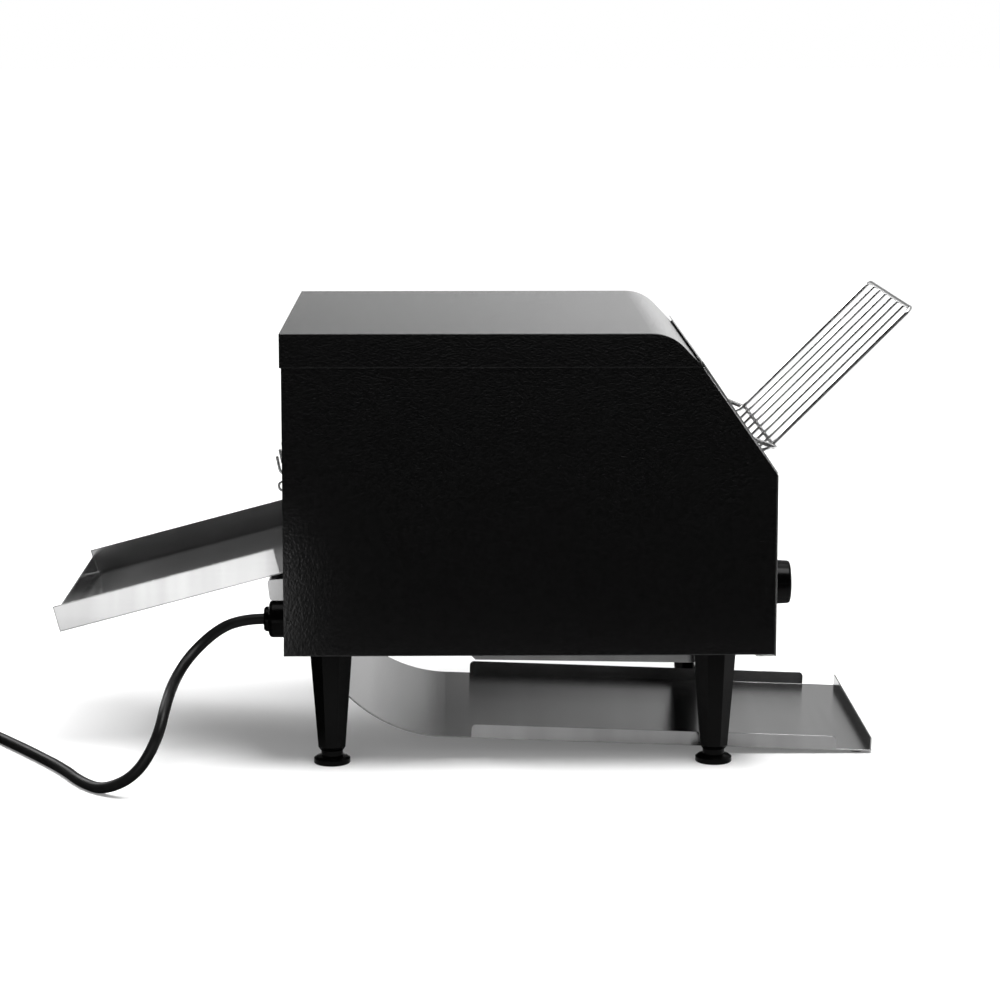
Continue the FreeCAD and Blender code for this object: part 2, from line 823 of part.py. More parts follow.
def notched_wheel(teeth, radius, notch, tip, thickness, bore):
    """A wheel on the Y axis with a round notch at each tooth space, the first one on top."""
    wheel = rod_y(0, 0, -thickness / 2, thickness / 2, radius + tip)
    cuts = [rod_y(0, 0, -thickness, thickness, bore)]
    for number in range(teeth):
        angle = number * 360 / teeth
        seat = rod_y(0, radius, -thickness, thickness, notch)
        mouth = box(-notch, notch, -thickness, thickness, radius, radius + 2 * tip)
        for cut in (seat, mouth):
            cut.rotate(Vector(0, 0, 0), Vector(0, 1, 0), angle)
            cuts.append(cut)
    return wheel.cut(cuts)


def make_belt_sprockets(x):
    notch = belt_wire_radius + sprocket_notch_gap
    wheel = notched_wheel(belt_teeth, belt_radius, notch, sprocket_tip, sprocket_thickness,
                          shaft_radius)
    hub = rod_y(0, 0, -sprocket_hub / 2, sprocket_hub / 2, shaft_radius + hub_wall)
    wheel = wheel.fuse(hub.cut(rod_y(0, 0, -sprocket_hub, sprocket_hub, shaft_radius)))
    wheels = []
    for offset in sprocket_offsets:
        for side in (-1, 1):
            wheels.append(wheel.translated(Vector(x, side * offset, shaft_z)))
    return wheels


def make_shaft(x, far_end):
    """A belt shaft with a collar inside each bush."""
    near_end = -chamber_outer_y - bush_flange - shaft_reach
    shaft = rod_y(x, shaft_z, near_end, far_end, shaft_radius)
    inner = chamber_half_width - bush_inside - shaft_end_gap
    collar = rod_y(x, shaft_z, inner - collar_width, inner, shaft_radius + collar_rise)
    return fuse([shaft] + both_sides(collar)).removeSplitter()


def make_bushes():
    bushes = []
    for x in (rear_shaft_x, front_shaft_x):
        body = rod_y(x, shaft_z, chamber_half_width - bush_inside, chamber_outer_y, bush_radius)
        flange = rod_y(x, shaft_z, chamber_outer_y, chamber_outer_y + bush_flange,
                       bush_flange_radius)
        bore = rod_y(x, shaft_z, 0, cabinet_half_width, shaft_radius + shaft_clearance)
        bushes += both_sides(body.fuse(flange).cut(bore))
    return bushes


def chain_plate(inside, outside):
    """A pair of eight-sided link plates between the joint at 0 and the one a pitch ahead."""
    half = chain_plate_height / 2
    cut = half * 0.55
    end = chain_pitch + half
    corners = [(-half, -half + cut), (-half + cut, -half), (end - cut, -half),
               (end, -half + cut), (end, half - cut), (end - cut, half), (-half + cut, half),
               (-half, half - cut)]
    return both_sides(plate(closed_outline(corners), inside, outside))


def make_drive_chain():
    inside = chain_inner_width / 2
    between = inside + chain_plate_thickness
    outside = between + chain_plate_gap
    rollers = [rod_y(x, 0, -inside, inside, chain_roller_radius) for x in (0, chain_pitch)]
    inner_link = fuse(chain_plate(inside, between) + rollers).removeSplitter()
    outer_link = Part.makeCompound(chain_plate(outside, outside + chain_plate_thickness))
    links = []
    places = loop_places(chain_pitch, chain_teeth, chain_straight_pitches, chain_radius)
    for number, (along, up, turn) in enumerate(places):
        link = (inner_link, outer_link)[number % 2].copy()
        link.Placement = Placement(Vector(along, chain_y, up),
                                   Rotation(Vector(0, 1, 0), -turn))
        link.rotate(Vector(0, 0, 0), Vector(0, 1, 0), 90)
        link.translate(Vector(rear_shaft_x, 0, shaft_z))
        links.append(link)
    return links


def make_chain_sprocket(z, bore):
    wheel = notched_wheel(chain_teeth, chain_radius, chain_roller_radius + chain_notch_gap,
                          chain_tooth_tip, chain_sprocket_thickness, bore)
    return wheel.translated(Vector(rear_shaft_x, chain_y, z))


def make_motor_bracket():
    half_width = gearbox_width / 2 + motor_plate_margin[0]
    half_height = gearbox_height / 2 + motor_plate_margin[1]
    face = box(rear_shaft_x - half_width, rear_shaft_x + half_width, motor_plate_y,
               motor_plate_y + panel_sheet, motor_z - half_height, motor_z + half_height)
    face = face.cut(rod_y(rear_shaft_x, motor_z, motor_plate_y - 1,
                          motor_plate_y + panel_sheet + 1,
                          motor_shaft_radius + motor_shaft_hole_gap))
    posts = []
    for across_side in (-1, 1):
        for up_side in (-1, 1):
            posts.append(rod_y(rear_shaft_x + across_side * (half_width - motor_post_inset),
                               motor_z + up_side * (half_height - motor_post_inset),
                               chamber_outer_y, motor_plate_y, motor_post_radius))
    return fuse([face] + posts).removeSplitter()


def make_gear_motor():
    y0 = motor_plate_y + panel_sheet
    y1 = y0 + gearbox_depth
    gearbox = box(rear_shaft_x - gearbox_width / 2, rear_shaft_x + gearbox_width / 2, y0, y1,
                  motor_z - gearbox_height / 2, motor_z + gearbox_height / 2)
    can_end = side_inner_y - panel_sheet - motor_end_gap
    can = rod_y(rear_shaft_x, motor_z, y1, can_end, motor_can_radius)
    bore = rod_y(rear_shaft_x, motor_z, y0 - 1, y1 - motor_bore_roof,
                 motor_shaft_radius + shaft_clearance)
    return gearbox.fuse(can).removeSplitter().cut(bore)


def make_motor_shaft():
    y0 = chain_y - chain_sprocket_thickness
    y1 = motor_plate_y + panel_sheet + gearbox_depth - motor_bore_roof - shaft_end_gap
    return rod_y(rear_shaft_x, motor_z, y0, y1, motor_shaft_radius)


# Heating elements

def make_quartz_tubes(z):
    half = chamber_outer_y + element_end
    tubes = []
    for x, place_z in element_places():
        if place_z == z:
            bar = rod_y(x, z, -half, half, element_radius)
            tubes.append(bar.cut(rod_y(x, z, -half, half, element_radius - element_wall)))
    return tubes


def make_filaments():
    half = chamber_outer_y + element_end
    return [rod_y(x, z, -half, half, filament_radius) for x, z in element_places()]


def make_element_caps():
    caps = []
    for x, z in element_places():
        inner = chamber_half_width - element_cap_inside
        body = rod_y(x, z, inner, chamber_outer_y, element_cap_body)
        head = rod_y(x, z, chamber_outer_y, inner + element_cap_length, element_cap_radius)
        bore = rod_y(x, z, 0, chamber_outer_y + element_end, element_radius)
        caps += both_sides(body.fuse(head).cut(bore))
    return caps


# Rack, gate, rear tray and bracket

def make_rack():
    turn = math.radians(rack_angle)
    foot_turn = math.radians(rack_foot_angle)
    top = Vector(rack_top_x, 0, rack_top_x + rack_line_height)
    knee = Vector(rack_foot_x, 0, rack_foot_x + rack_line_height)
    toe = knee - Vector(math.cos(foot_turn), 0, math.sin(foot_turn)) * rack_foot_length
    side = Vector(0, rack_half_width, 0)
    frame = tube([toe - side, knee - side, top - side, top + side, knee + side, toe + side],
                 [rack_corner] * 4, rack_outer_radius)
    cross_x, cross_z = rack_cross_point()
    tip_x, tip_z = rack_arm_tip()
    cross = Vector(cross_x, 0, cross_z)
    tip = Vector(tip_x, 0, tip_z)
    reach = Vector(0, rack_arm_y, 0)
    foot_bar = tube([tip - reach, cross - reach, cross + reach, tip + reach],
                    [rack_arm_bend] * 2, rack_outer_radius)
    wires = [frame, foot_bar]
    low = Vector(rack_inner_end_x, 0, rack_inner_end_x + rack_line_height)
    for number in range(rack_inner_count):
        y = (2 * (number + 1) / (rack_inner_count + 1) - 1) * rack_half_width
        wires.append(rod(low + Vector(0, y, 0), top + Vector(0, y, 0), rack_inner_radius))
    return fuse(wires)


def make_gate():
    wires = [rod_y(gate_x, gate_pivot_z, -gate_pivot_end, gate_pivot_end, gate_pivot_radius),
             rod_y(gate_x, gate_foot_z, -gate_half_width - 2, gate_half_width + 2,
                   gate_wire_radius)]
    path = [(gate_x, gate_foot_z), (gate_x, gate_pivot_z), (gate_tip_knee_x, gate_tip_knee_z),
            (gate_tip_x, gate_tip_z)]
    for number in range(gate_wire_count):
        y = (2 * number / (gate_wire_count - 1) - 1) * gate_half_width
        points = [Vector(x, y, z) for x, z in path]
        wires.append(tube(points, [gate_bend] * 2, gate_wire_radius))
    for side in (-1, 1):
        y = side * gate_half_width
        high = gate_loop_z + gate_loop_radius
        low = gate_loop_z - gate_loop_radius
        out = gate_x - gate_loop_reach
        points = [Vector(gate_x, y, high), Vector(out, y, high), Vector(out, y, low),
                  Vector(gate_x, y, low)]
        wires.append(tube(points, [gate_loop_radius * 0.95] * 2, gate_loop_wire))
    return fuse(wires)


def tray_floor_z(x):
    return tray_floor_height - (rear_panel_x - x) * math.tan(tray_tilt)


def make_rear_tray():
    """Sloping tray behind the rear opening, hooked over the opening's lower edge."""
    far_z = tray_floor_z(rear_tray_end_x)
    out = Vector(-math.sin(tray_tilt), 0, math.cos(tray_tilt))
    along = Vector(math.cos(tray_tilt), 0, math.sin(tray_tilt))
    far = Vector(rear_tray_end_x, 0, far_z)
    end_top = far + out * tray_end_height
    near = Vector(rear_panel_x - tray_seat_gap, 0, tray_floor_z(rear_panel_x - tray_seat_gap))
    slit = tray_half_width - tray_corner_gap
    lift = out * tray_sheet
    floor = plate(Part.makePolygon([far, near, near + lift, far + lift, far]),
                  -tray_half_width, tray_half_width)
    end = sheet(bent_wire([(end_top.x, end_top.z), (far.x, far.z),
                           (far.x + along.x * 6, far.z + along.z * 6)], 0),
                tray_sheet, -slit, slit)
    hook_x = tongue_lip_x - tray_sheet
    tongue_line = bent_wire([(far.x + along.x * 150, far.z + along.z * 150),
                             (hook_x, tray_floor_z(hook_x)),
                             (hook_x, tray_floor_z(hook_x) - tongue_lip_depth)], 0)
    tongue = sheet(tongue_line, tray_sheet, -tongue_half_width, tongue_half_width)
    flange_end = far + along * tray_flange_length
    flange = Part.makePolygon([far, flange_end, flange_end + out * tray_flange_height,
                               far + out * tray_flange_height, far])
    cheek = plate(flange, tray_half_width - tray_sheet, tray_half_width)
    return fuse([floor, end, tongue] + both_sides(cheek)).removeSplitter()


def make_tray_bracket():
    low_z = bracket_top_z - bracket_height
    outer_x = rear_panel_x - bracket_reach
    line = rounded_wire([Vector(rear_panel_x, 0, bracket_top_z + bracket_rise),
                         Vector(outer_x, 0, bracket_top_z),
                         Vector(outer_x + bracket_lean, 0, low_z),
                         Vector(rear_panel_x, 0, low_z)], [bracket_corner] * 2)
    channel = sheet(line, bracket_sheet, -bracket_half_width, bracket_half_width)
    closing = Part.LineSegment(Vector(rear_panel_x, 0, low_z),
                               Vector(rear_panel_x, 0, bracket_top_z + bracket_rise)).toShape()
    cap = plate(Part.Wire(line.Edges + [closing]), bracket_half_width - bracket_sheet,
                bracket_half_width)
    inside_panel = box(rear_panel_x, front_x, -cabinet_half_width, cabinet_half_width, 0, top_z)
    return fuse([channel] + both_sides(cap)).cut(inside_panel).removeSplitter()


# Toast chute and crumb tray

def chute_line():
    top_x, top_z_of_chute = chute_top()
    front = Vector(chute_front_x, 0, chute_front_z)
    bend = Vector(chute_bend_x, 0, chute_bend_z)
    top = Vector(top_x, 0, top_z_of_chute)
    start = math.atan2(bend.z - chute_centre_z, bend.x - chute_centre_x)
    stop = math.atan2(top.z - chute_centre_z, top.x - chute_centre_x)
    half = (start + stop) / 2
    middle = Vector(chute_centre_x + chute_bend_radius * math.cos(half), 0,
                    chute_centre_z + chute_bend_radius * math.sin(half))
    return [Part.LineSegment(front, bend).toShape(), Part.Arc(bend, middle, top).toShape()]


def make_toast_chute():
    floor = sheet(Part.Wire(chute_line()), -tray_sheet, -chute_half_width, chute_half_width)
    back = Vector(-math.cos(chute_tilt), 0, math.sin(chute_tilt))
    up = Vector(math.sin(chute_tilt), 0, math.cos(chute_tilt))
    front = Vector(chute_front_x, 0, chute_front_z)
    end = [front, front + back * tray_sheet, front + back * tray_sheet + up * chute_end_height,
           front + up * chute_end_height]
    end_flange = plate(Part.makePolygon(end + end[:1]), -chute_half_width + tray_corner_gap,
                       chute_half_width - tray_corner_gap)
    low_front = front + back * (chute_front_x - chute_flange_x1)
    low_back = front + back * (chute_front_x - chute_flange_x0)
    corners = [low_front, low_back, low_back + up * chute_flange_height,
               low_front + up * chute_flange_height, low_front]
    cheek = plate(rounded_wire(corners, [0, chute_corner, chute_corner]),
                  chute_half_width - tray_sheet, chute_half_width)
    return fuse([floor, end_flange] + both_sides(cheek)).removeSplitter()


def make_chute_pads():
    z1 = chute_front_z + chute_pad_inset * math.tan(chute_tilt)
    x = chute_front_x - chute_pad_inset
    pads = []
    for side in (-1, 1):
        y = side * (chute_half_width - chute_pad_inset)
        pad = Part.makeCylinder(chute_pad_radius, z1 + 1, Vector(x, y, 0))
        pads.append(pad.cut(make_chute_cutter(y)))
    return pads


def make_chute_cutter(y):
    """Everything above the underside of the chute near one pad."""
    lines = chute_line()
    front = lines[0].Vertexes[0].Point
    bend = lines[0].Vertexes[1].Point
    outline = Part.makePolygon([front, bend, bend + Vector(0, 0, 30), front + Vector(0, 0, 30),
                                front])
    return plate(outline, y - 20, y + 20)


def make_crumb_tray():
    drop = math.tan(math.radians(crumb_slope))
    front_z = crumb_rear_z - (crumb_x1 - crumb_x0) * drop
    rise = crumb_flange_z - crumb_rear_z
    outline = [(crumb_x0, crumb_flange_z), (crumb_x0, crumb_rear_z + crumb_corner),
               (crumb_x0 + crumb_corner, crumb_rear_z), (crumb_x1, front_z),
               (crumb_x1, crumb_flange_z)]
    solid = plate(closed_outline(outline), -crumb_half_width, crumb_half_width)
    hollow = plate(closed_outline([
        (crumb_x0 + crumb_sheet, crumb_flange_z + 1),
        (crumb_x0 + crumb_sheet, crumb_rear_z + crumb_corner + crumb_sheet / 2),
        (crumb_x0 + crumb_corner + crumb_sheet / 2, crumb_rear_z + crumb_sheet),
        (crumb_x1 - crumb_sheet, front_z + crumb_sheet),
        (crumb_x1 - crumb_sheet, crumb_flange_z + 1)]),
        -crumb_half_width + crumb_sheet, crumb_half_width - crumb_sheet)
    flange = box(crumb_x0, crumb_x1, crumb_half_width - crumb_sheet,
                 crumb_half_width + crumb_flange, crumb_flange_z - crumb_sheet, crumb_flange_z)
    pull = box(crumb_x1, crumb_x1 + crumb_pull, -crumb_pull_half, crumb_pull_half,
               front_z + rise / 2, front_z + rise / 2 + crumb_sheet)
    lip = box(crumb_x1 + crumb_pull - crumb_sheet, crumb_x1 + crumb_pull, -crumb_pull_half,
              crumb_pull_half, front_z + rise / 2 - crumb_pull_lip, front_z + rise / 2)
    return fuse([solid.cut(hollow), pull, lip] + both_sides(flange)).removeSplitter()


# Legs and feet

def eight_sided(width, z):
    half = width / 2
    cut = half * (1 - math.tan(math.pi / 8))
    corners = [(half, cut - half), (half, half - cut), (half - cut, half), (cut - half, half),
               (-half, half - cut), (-half, cut - half), (cut - half, -half), (half - cut, -half)]
    points = [Vector(x, y, z) for x, y in corners]
    return Part.makePolygon(points + points[:1])


def make_leg(x, y):
    collar_z = base_z - leg_collar_height
    shaft = Part.makeLoft([eight_sided(leg_end_width, leg_end_z),
                           eight_sided(leg_bottom_width, leg_bottom_z),
                           eight_sided(leg_top_width, collar_z)], True, True)
    half = leg_collar_width / 2
    collar = box(-half, half, -half, half, collar_z, base_z)
    bore = Part.makeCylinder(foot_stem_radius + foot_bore_clearance, foot_bore_top)
    bolt = Part.makeCylinder(leg_bolt_radius, base_z, Vector(0, 0, base_z - leg_bolt_depth))
    return shaft.fuse(collar).removeSplitter().cut([bore, bolt]).translated(Vector(x, y, 0))


def make_foot(x, y):
    dome_z = foot_wall + foot_dome
    up, share = foot_shoulder
    profile = [(0, 0), (0, foot_radius - foot_edge), (foot_edge, foot_radius),
               (foot_wall, foot_radius), (foot_wall + foot_dome * up, foot_radius * share),
               (dome_z, foot_neck_radius),
               (foot_neck_z, foot_neck_radius), (foot_neck_z, foot_stem_radius),
               (foot_stem_top, foot_stem_radius), (foot_stem_top, 0)]
    return turned(profile, Vector(x, y, 0), Vector(0, 0, 1), Vector(1, 0, 0))


def make_leg_bolts():
    bolts = []
    for x, y in leg_places():
        shank = Part.makeCylinder(leg_bolt_radius, leg_bolt_depth + panel_sheet,
                                  Vector(x, y, base_z - leg_bolt_depth))
        head = Part.makeCylinder(leg_bolt_radius * 1.9, leg_bolt_radius * 1.3,
                                 Vector(x, y, base_top_z))
        bolts.append(shank.fuse(head))
    return bolts


def leg_places():
    return [(x, side * leg_y) for x in (leg_rear_x, leg_front_x) for side in (-1, 1)]


# Controls, fan and wiring

def knob_shape(y):
    face = front_x + panel_sheet
    x0 = face + knob_panel_gap
    x1 = face + knob_height
    tip = knob_radius - knob_taper
    profile = [(0, 0), (0, knob_radius - 0.5), (0.5, knob_radius),
               (x1 - x0 - knob_edge, tip), (x1 - x0 - knob_edge * 0.3, tip - knob_edge * 0.3),
               (x1 - x0, tip - knob_edge), (x1 - x0, 0)]
    body = turned(profile, Vector(x0, y, control_z), Vector(1, 0, 0), Vector(0, 0, 1))
    bore = rod_x(x0 - 1, x0 + knob_bore, y, control_z, control_shaft_radius)
    mark = box(x1 - knob_mark_depth, x1 + 1, y - knob_mark_width / 2, y + knob_mark_width / 2,
               control_z + knob_radius * 0.35, control_z + knob_radius)
    return body.cut([bore, mark])


def make_control_shaft(y):
    x0 = front_x - control_depth + control_wall + shaft_end_gap
    x1 = front_x + panel_sheet + knob_panel_gap + knob_bore
    return rod_x(x0, x1, y, control_z, control_shaft_radius)


def make_control_body(y, half):
    block = box(front_x - control_depth, front_x, y - half, y + half, control_z - half,
                control_z + half)
    nose = rod_x(front_x, front_x + panel_sheet, y, control_z, control_nose_radius)
    bore = rod_x(front_x - control_depth + control_wall, front_x + panel_sheet + 1, y,
                 control_z, control_shaft_radius + control_shaft_gap)
    return block.fuse(nose).cut(bore)


def make_lamps():
    lamps = []
    for side in (-1, 1):
        y = side * lamp_y
        body = rod_x(front_x - lamp_depth, front_x + panel_sheet, y, control_z, lamp_radius)
        lens = rod_x(front_x + panel_sheet, front_x + panel_sheet + lamp_stand, y, control_z,
                     lamp_radius + lamp_rim)
        round_edges = [edge for edge in lens.Edges
                       if edge.BoundBox.XMin > front_x + panel_sheet + lamp_stand - 0.1]
        lamps.append(body.fuse(lens.makeFillet(lamp_round, round_edges)))
    return lamps


def make_fan_frame():
    y1 = side_inner_y
    y0 = y1 - fan_depth
    half = fan_size / 2
    frame = box(fan_x - half, fan_x + half, y0, y1, fan_z - half, fan_z + half)
    frame = frame.cut(rod_y(fan_x, fan_z, y0 - 1, y1 + 1, fan_bore))
    hub = rod_y(fan_x, fan_z, y0, y0 + fan_arm, fan_hub_radius)
    axle = rod_y(fan_x, fan_z, y0 + fan_arm, y1 - fan_axle_end, fan_axle_radius)
    arms = []
    for turn in fan_arm_turns:
        arm = box(-half, half, y0, y0 + fan_arm, -fan_arm_half, fan_arm_half)
        arm.rotate(Vector(0, 0, 0), Vector(0, 1, 0), turn)
        arms.append(arm.translated(Vector(fan_x, 0, fan_z)))
    return fuse([frame, hub, axle] + arms).removeSplitter()


def make_fan_rotor():
    y0 = side_inner_y - fan_depth + fan_arm + shaft_end_gap
    y1 = side_inner_y - fan_rotor_gap
    hub = rod_y(0, 0, y0, y1, fan_hub_radius)
    blades = []
    for number in range(fan_blades):
        blade = box(-fan_blade_thickness / 2, fan_blade_thickness / 2, y0 + fan_blade_margin,
                    y1 - fan_blade_margin, fan_hub_radius - fan_axle_radius, fan_blade_radius)
        blade.rotate(Vector(0, (y0 + y1) / 2, 0), Vector(0, 0, 1), fan_blade_twist)
        blade.rotate(Vector(0, 0, 0), Vector(0, 1, 0), number * 360 / fan_blades)
        blades.append(blade)
    margin = fan_blade_margin / 2
    inside = rod_y(0, 0, y0 + margin, y1 - margin, fan_blade_radius)
    rotor = fuse([hub] + [blade.common(inside) for blade in blades])
    rotor = rotor.cut(rod_y(0, 0, y0 - 1, y1 - fan_hub_roof, fan_axle_radius + shaft_clearance))
    return rotor.translated(Vector(fan_x, 0, fan_z))


def make_terminal_block():
    x0 = terminal_x - terminal_length / 2
    top = base_top_z + terminal_height
    block = box(x0, x0 + terminal_length, terminal_y - terminal_half,
                terminal_y + terminal_half, base_top_z, top)
    screws = []
    for number in range(terminal_ways):
        x = x0 + (number + 0.5) * terminal_length / terminal_ways
        for side in (-1, 1):
            place = Vector(x, terminal_y + side * terminal_screw_y, top - terminal_screw_depth)
            screws.append(Part.makeCylinder(terminal_screw_radius, terminal_screw_depth + 1,
                                            place))
    return block.cut(screws)


# Cable gland, cord and plug

def make_cable_gland():
    round_half = gland_corner * (1 - math.sqrt(0.5))
    mid = gland_length - round_half
    profile = [(-panel_sheet - gland_inside, 0), (-panel_sheet - gland_inside, gland_thread_radius),
               (0, gland_thread_radius), (0, gland_radius), (gland_length - gland_corner,
                gland_radius), (mid, gland_radius - round_half),
               (gland_length, gland_radius - gland_corner), (gland_length, gland_dome_radius),
               (gland_length + gland_dome_length - gland_dome_bevel, gland_dome_radius),
               (gland_length + gland_dome_length, gland_dome_radius - gland_dome_bevel),
               (gland_length + gland_dome_length, 0)]
    body = turned(profile, gland_seat(), Vector(-1, 0, 0), Vector(0, 0, 1))
    return body.fuse(gland_nut())


def gland_seat():
    return Vector(rear_panel_x, gland_y, gland_z)


def gland_nut():
    corners = []
    for number in range(6):
        angle = number * math.pi / 3
        corners.append(Vector(rear_inner_x, gland_y + gland_nut_radius * math.cos(angle),
                              gland_z + gland_nut_radius * math.sin(angle)))
    nut = Part.Face(Part.makePolygon(corners + corners[:1])).extrude(Vector(gland_nut_depth, 0, 0))
    return nut.cut(rod_x(rear_inner_x - 1, rear_inner_x + 20, gland_y, gland_z,
                         gland_thread_radius))


def cord_exit():
    return gland_seat() - Vector(gland_length + gland_dome_length, 0, 0)


def cord_route():
    """Points of the free cord, from the gland to where the coil begins."""
    exit_point = cord_exit()
    return [exit_point, exit_point - Vector(cord_lead, 0, 0),
            Vector(-265.8, -139.5, 119.0), Vector(-289.9, -150.5, 98.8),
            Vector(-301.7, -177.6, 83.4), Vector(-304.2, -230.5, 75.1),
            Vector(-309.3, -254.5, 49.9), Vector(-326.7, -258.7, 20.4),
            Vector(-355.2, -247.3, cord_radius), Vector(-377.5, -221.1, cord_radius),
            Vector(-397.4, -179.2, cord_radius), Vector(-428.6, -130.3, cord_radius),
            Vector(-462.2, -80.6, cord_radius), Vector(-490.1, -41.5, cord_radius)]


def route_bends(points):
    """Radius of each arc: 0.45 of the shorter run over the tangent of half the turn."""
    radii = []
    for before, corner, after in zip(points, points[1:], points[2:]):
        back = before - corner
        ahead = after - corner
        half_turn = (math.pi - back.getAngle(ahead)) / 2
        radii.append(0.45 * min(back.Length, ahead.Length) / math.tan(half_turn))
    return radii


def coil_point(turn):
    """Radius and height of the coil after a number of turns: in, up one layer, and out."""
    layer = cord_diameter + coil_layer_gap
    if turn <= coil_in_turns:
        return coil_outer_radius - coil_pitch * turn, cord_radius
    low_radius = coil_outer_radius - coil_pitch * (coil_in_turns + 0.5)
    step = turn - coil_in_turns
    if step < 0.5:
        rise = 2 * step
        return (coil_outer_radius - coil_pitch * turn,
                cord_radius + layer * rise * rise * (3 - 2 * rise))
    return low_radius + coil_out_pitch * (step - 0.5), cord_radius + layer


def coil_place(turn):
    radius, z = coil_point(turn)
    angle = 2 * math.pi * turn
    return Vector(radius * math.cos(angle), radius * math.sin(angle), z)


def coil_heading(turn):
    """Direction of the coil, level at its two ends."""
    small = 1e-3
    before = max(turn - small, 0)
    after = min(turn + small, coil_turns)
    return (coil_place(after) - coil_place(before)).normalize()


def arc_from(start, heading, end):
    """The arc that leaves the start along the heading and reaches the end."""
    chord = end - start
    way = Vector(chord).normalize()
    turn = heading.getAngle(way)
    if turn < 1e-7:
        return Part.LineSegment(start, end).toShape()
    bulge = (heading - way * math.cos(turn)).normalize()
    middle = (start + end) * 0.5 + bulge * (chord.Length / 2 * math.tan(turn / 2))
    return Part.Arc(start, middle, end).toShape()


def two_arcs(start, start_heading, end, end_heading):
    """Two arcs that join two points with the given headings at both."""
    span = end - start
    total = start_heading + end_heading
    spread = 2 * (1 - start_heading.dot(end_heading))
    along = span.dot(total)
    reach = (math.sqrt(along * along + spread * span.dot(span)) - along) / spread
    middle = (start + start_heading * reach + end - end_heading * reach) * 0.5
    first = arc_from(start, start_heading, middle)
    last_heading = arc_from(end, end_heading * -1, middle)
    return [first, last_heading]


def coil_frame():
    """Placement of the coil so that it starts where the free cord ends, in its direction."""
    route = cord_route()
    heading = (route[-1] - route[-2]).normalize()
    own = coil_heading(0)
    turn = math.degrees(math.atan2(heading.y, heading.x) - math.atan2(own.y, own.x))
    start = route[-1] + heading * cord_diameter
    spin = Rotation(Vector(0, 0, 1), turn)
    offset = spin.multVec(coil_place(0))
    return Placement(Vector(start.x - offset.x, start.y - offset.y, 0), spin)


def make_cord():
    points = cord_route()
    bends = route_bends(points)
    print("cord bend radii", [round(bend, 1) for bend in bends])
    cord = tube(points, bends, cord_radius)
    length = rounded_wire(points, bends).Length
    print("cord length", round(length, 1), "volume over section times length",
          round(cord.Volume / (length * math.pi * cord_radius ** 2), 4))
    return cord


def make_cord_coil():
    steps = int(coil_turns * 4)
    edges = []
    first = coil_place(0)
    first_heading = coil_heading(0)
    lead = first - first_heading * cord_diameter
    edges.append(Part.LineSegment(lead, first).toShape())
    for number in range(steps):
        start = number / 4
        end = (number + 1) / 4
        edges += two_arcs(coil_place(start), coil_heading(start), coil_place(end),
                          coil_heading(end))
    last = coil_place(coil_turns)
    last_heading = coil_heading(coil_turns)
    edges.append(Part.LineSegment(last, last + last_heading * cord_diameter).toShape())
    path = Part.Wire(edges)
    ring = Part.Wire(Part.makeCircle(cord_radius, lead, first_heading))
    coil = path.makePipeShell([ring], True, False)
    print("coil length", round(path.Length, 1), "volume over section times length",
          round(coil.Volume / (path.Length * math.pi * cord_radius ** 2), 4))
    print("coil least gap to itself", round(least_gap(path), 2))
    coil.Placement = coil_frame()
    return coil


def least_gap(path):
    """Smallest space between two stretches of the coil that are not neighbours along it."""
    points = path.discretize(Distance=2.5)
    skip = int(4 * cord_diameter / 2.5)
    least = min((points[first] - points[second]).Length
                for first in range(len(points))
                for second in range(first + skip, len(points)))
    return least - cord_diameter


def tail_route():
    """Points of the short stretch from the top of the coil to the plug."""
    frame = coil_frame()
    heading = frame.Rotation.multVec(coil_heading(coil_turns))
    start = frame.multVec(coil_place(coil_turns)) + heading * cord_diameter
    aside = Vector(heading.y, -heading.x, 0)
    points = [start]
    run = tail_length / 3
    drop = start.z - plug_axis_z
    for number in range(3):
        sway = tail_sway * number
        level = (0, drop, 0)[number]
        points.append(points[-1] + heading * run + aside * sway - Vector(0, 0, level))
    return points


def make_cord_tail():
    points = tail_route()
    bends = route_bends(points)
    print("tail bend radii", [round(bend, 1) for bend in bends])
    return tube(points, bends, cord_radius)


def plug_frame():
    points = tail_route()
    return points[-1], (points[-1] - points[-2]).normalize()


def make_plug():
    start, heading = plug_frame()
    side = Vector(0, 0, 1).cross(heading).normalize()
    up = heading.cross(side)
    relief = []
    for along, wall in zip((0, plug_relief / 2, plug_relief + 1), plug_relief_walls):
        relief.append((along, cord_radius + wall))
    profile = [(0, 0)] + relief + [(plug_relief + 1, 0)]
    boot = turned(profile, start, heading, up)
    body = Part.makeBox(plug_length, plug_width, plug_height)
    long_edges = [edge for edge in body.Edges if abs(edge.tangentAt(0).x) > 0.9]
    body = body.makeFillet(plug_corner, long_edges)
    shoulder = [edge for edge in body.Edges if edge.BoundBox.XMax < 0.01]
    body = body.makeFillet(plug_corner * 0.5, shoulder)
    body.translate(Vector(plug_relief, -plug_width / 2, -plug_height / 2))
    body.Placement = plug_placement(start, heading).multiply(body.Placement)
    return body.fuse(boot).removeSplitter()


def plug_placement(start, heading):
    level = Vector(heading.x, heading.y, 0).normalize()
    turn = math.degrees(math.atan2(level.y, level.x))
    dip = math.degrees(math.asin(-heading.z))
    spin = Rotation(Vector(0, 0, 1), turn).multiply(Rotation(Vector(0, 1, 0), dip))
    return Placement(start, spin)


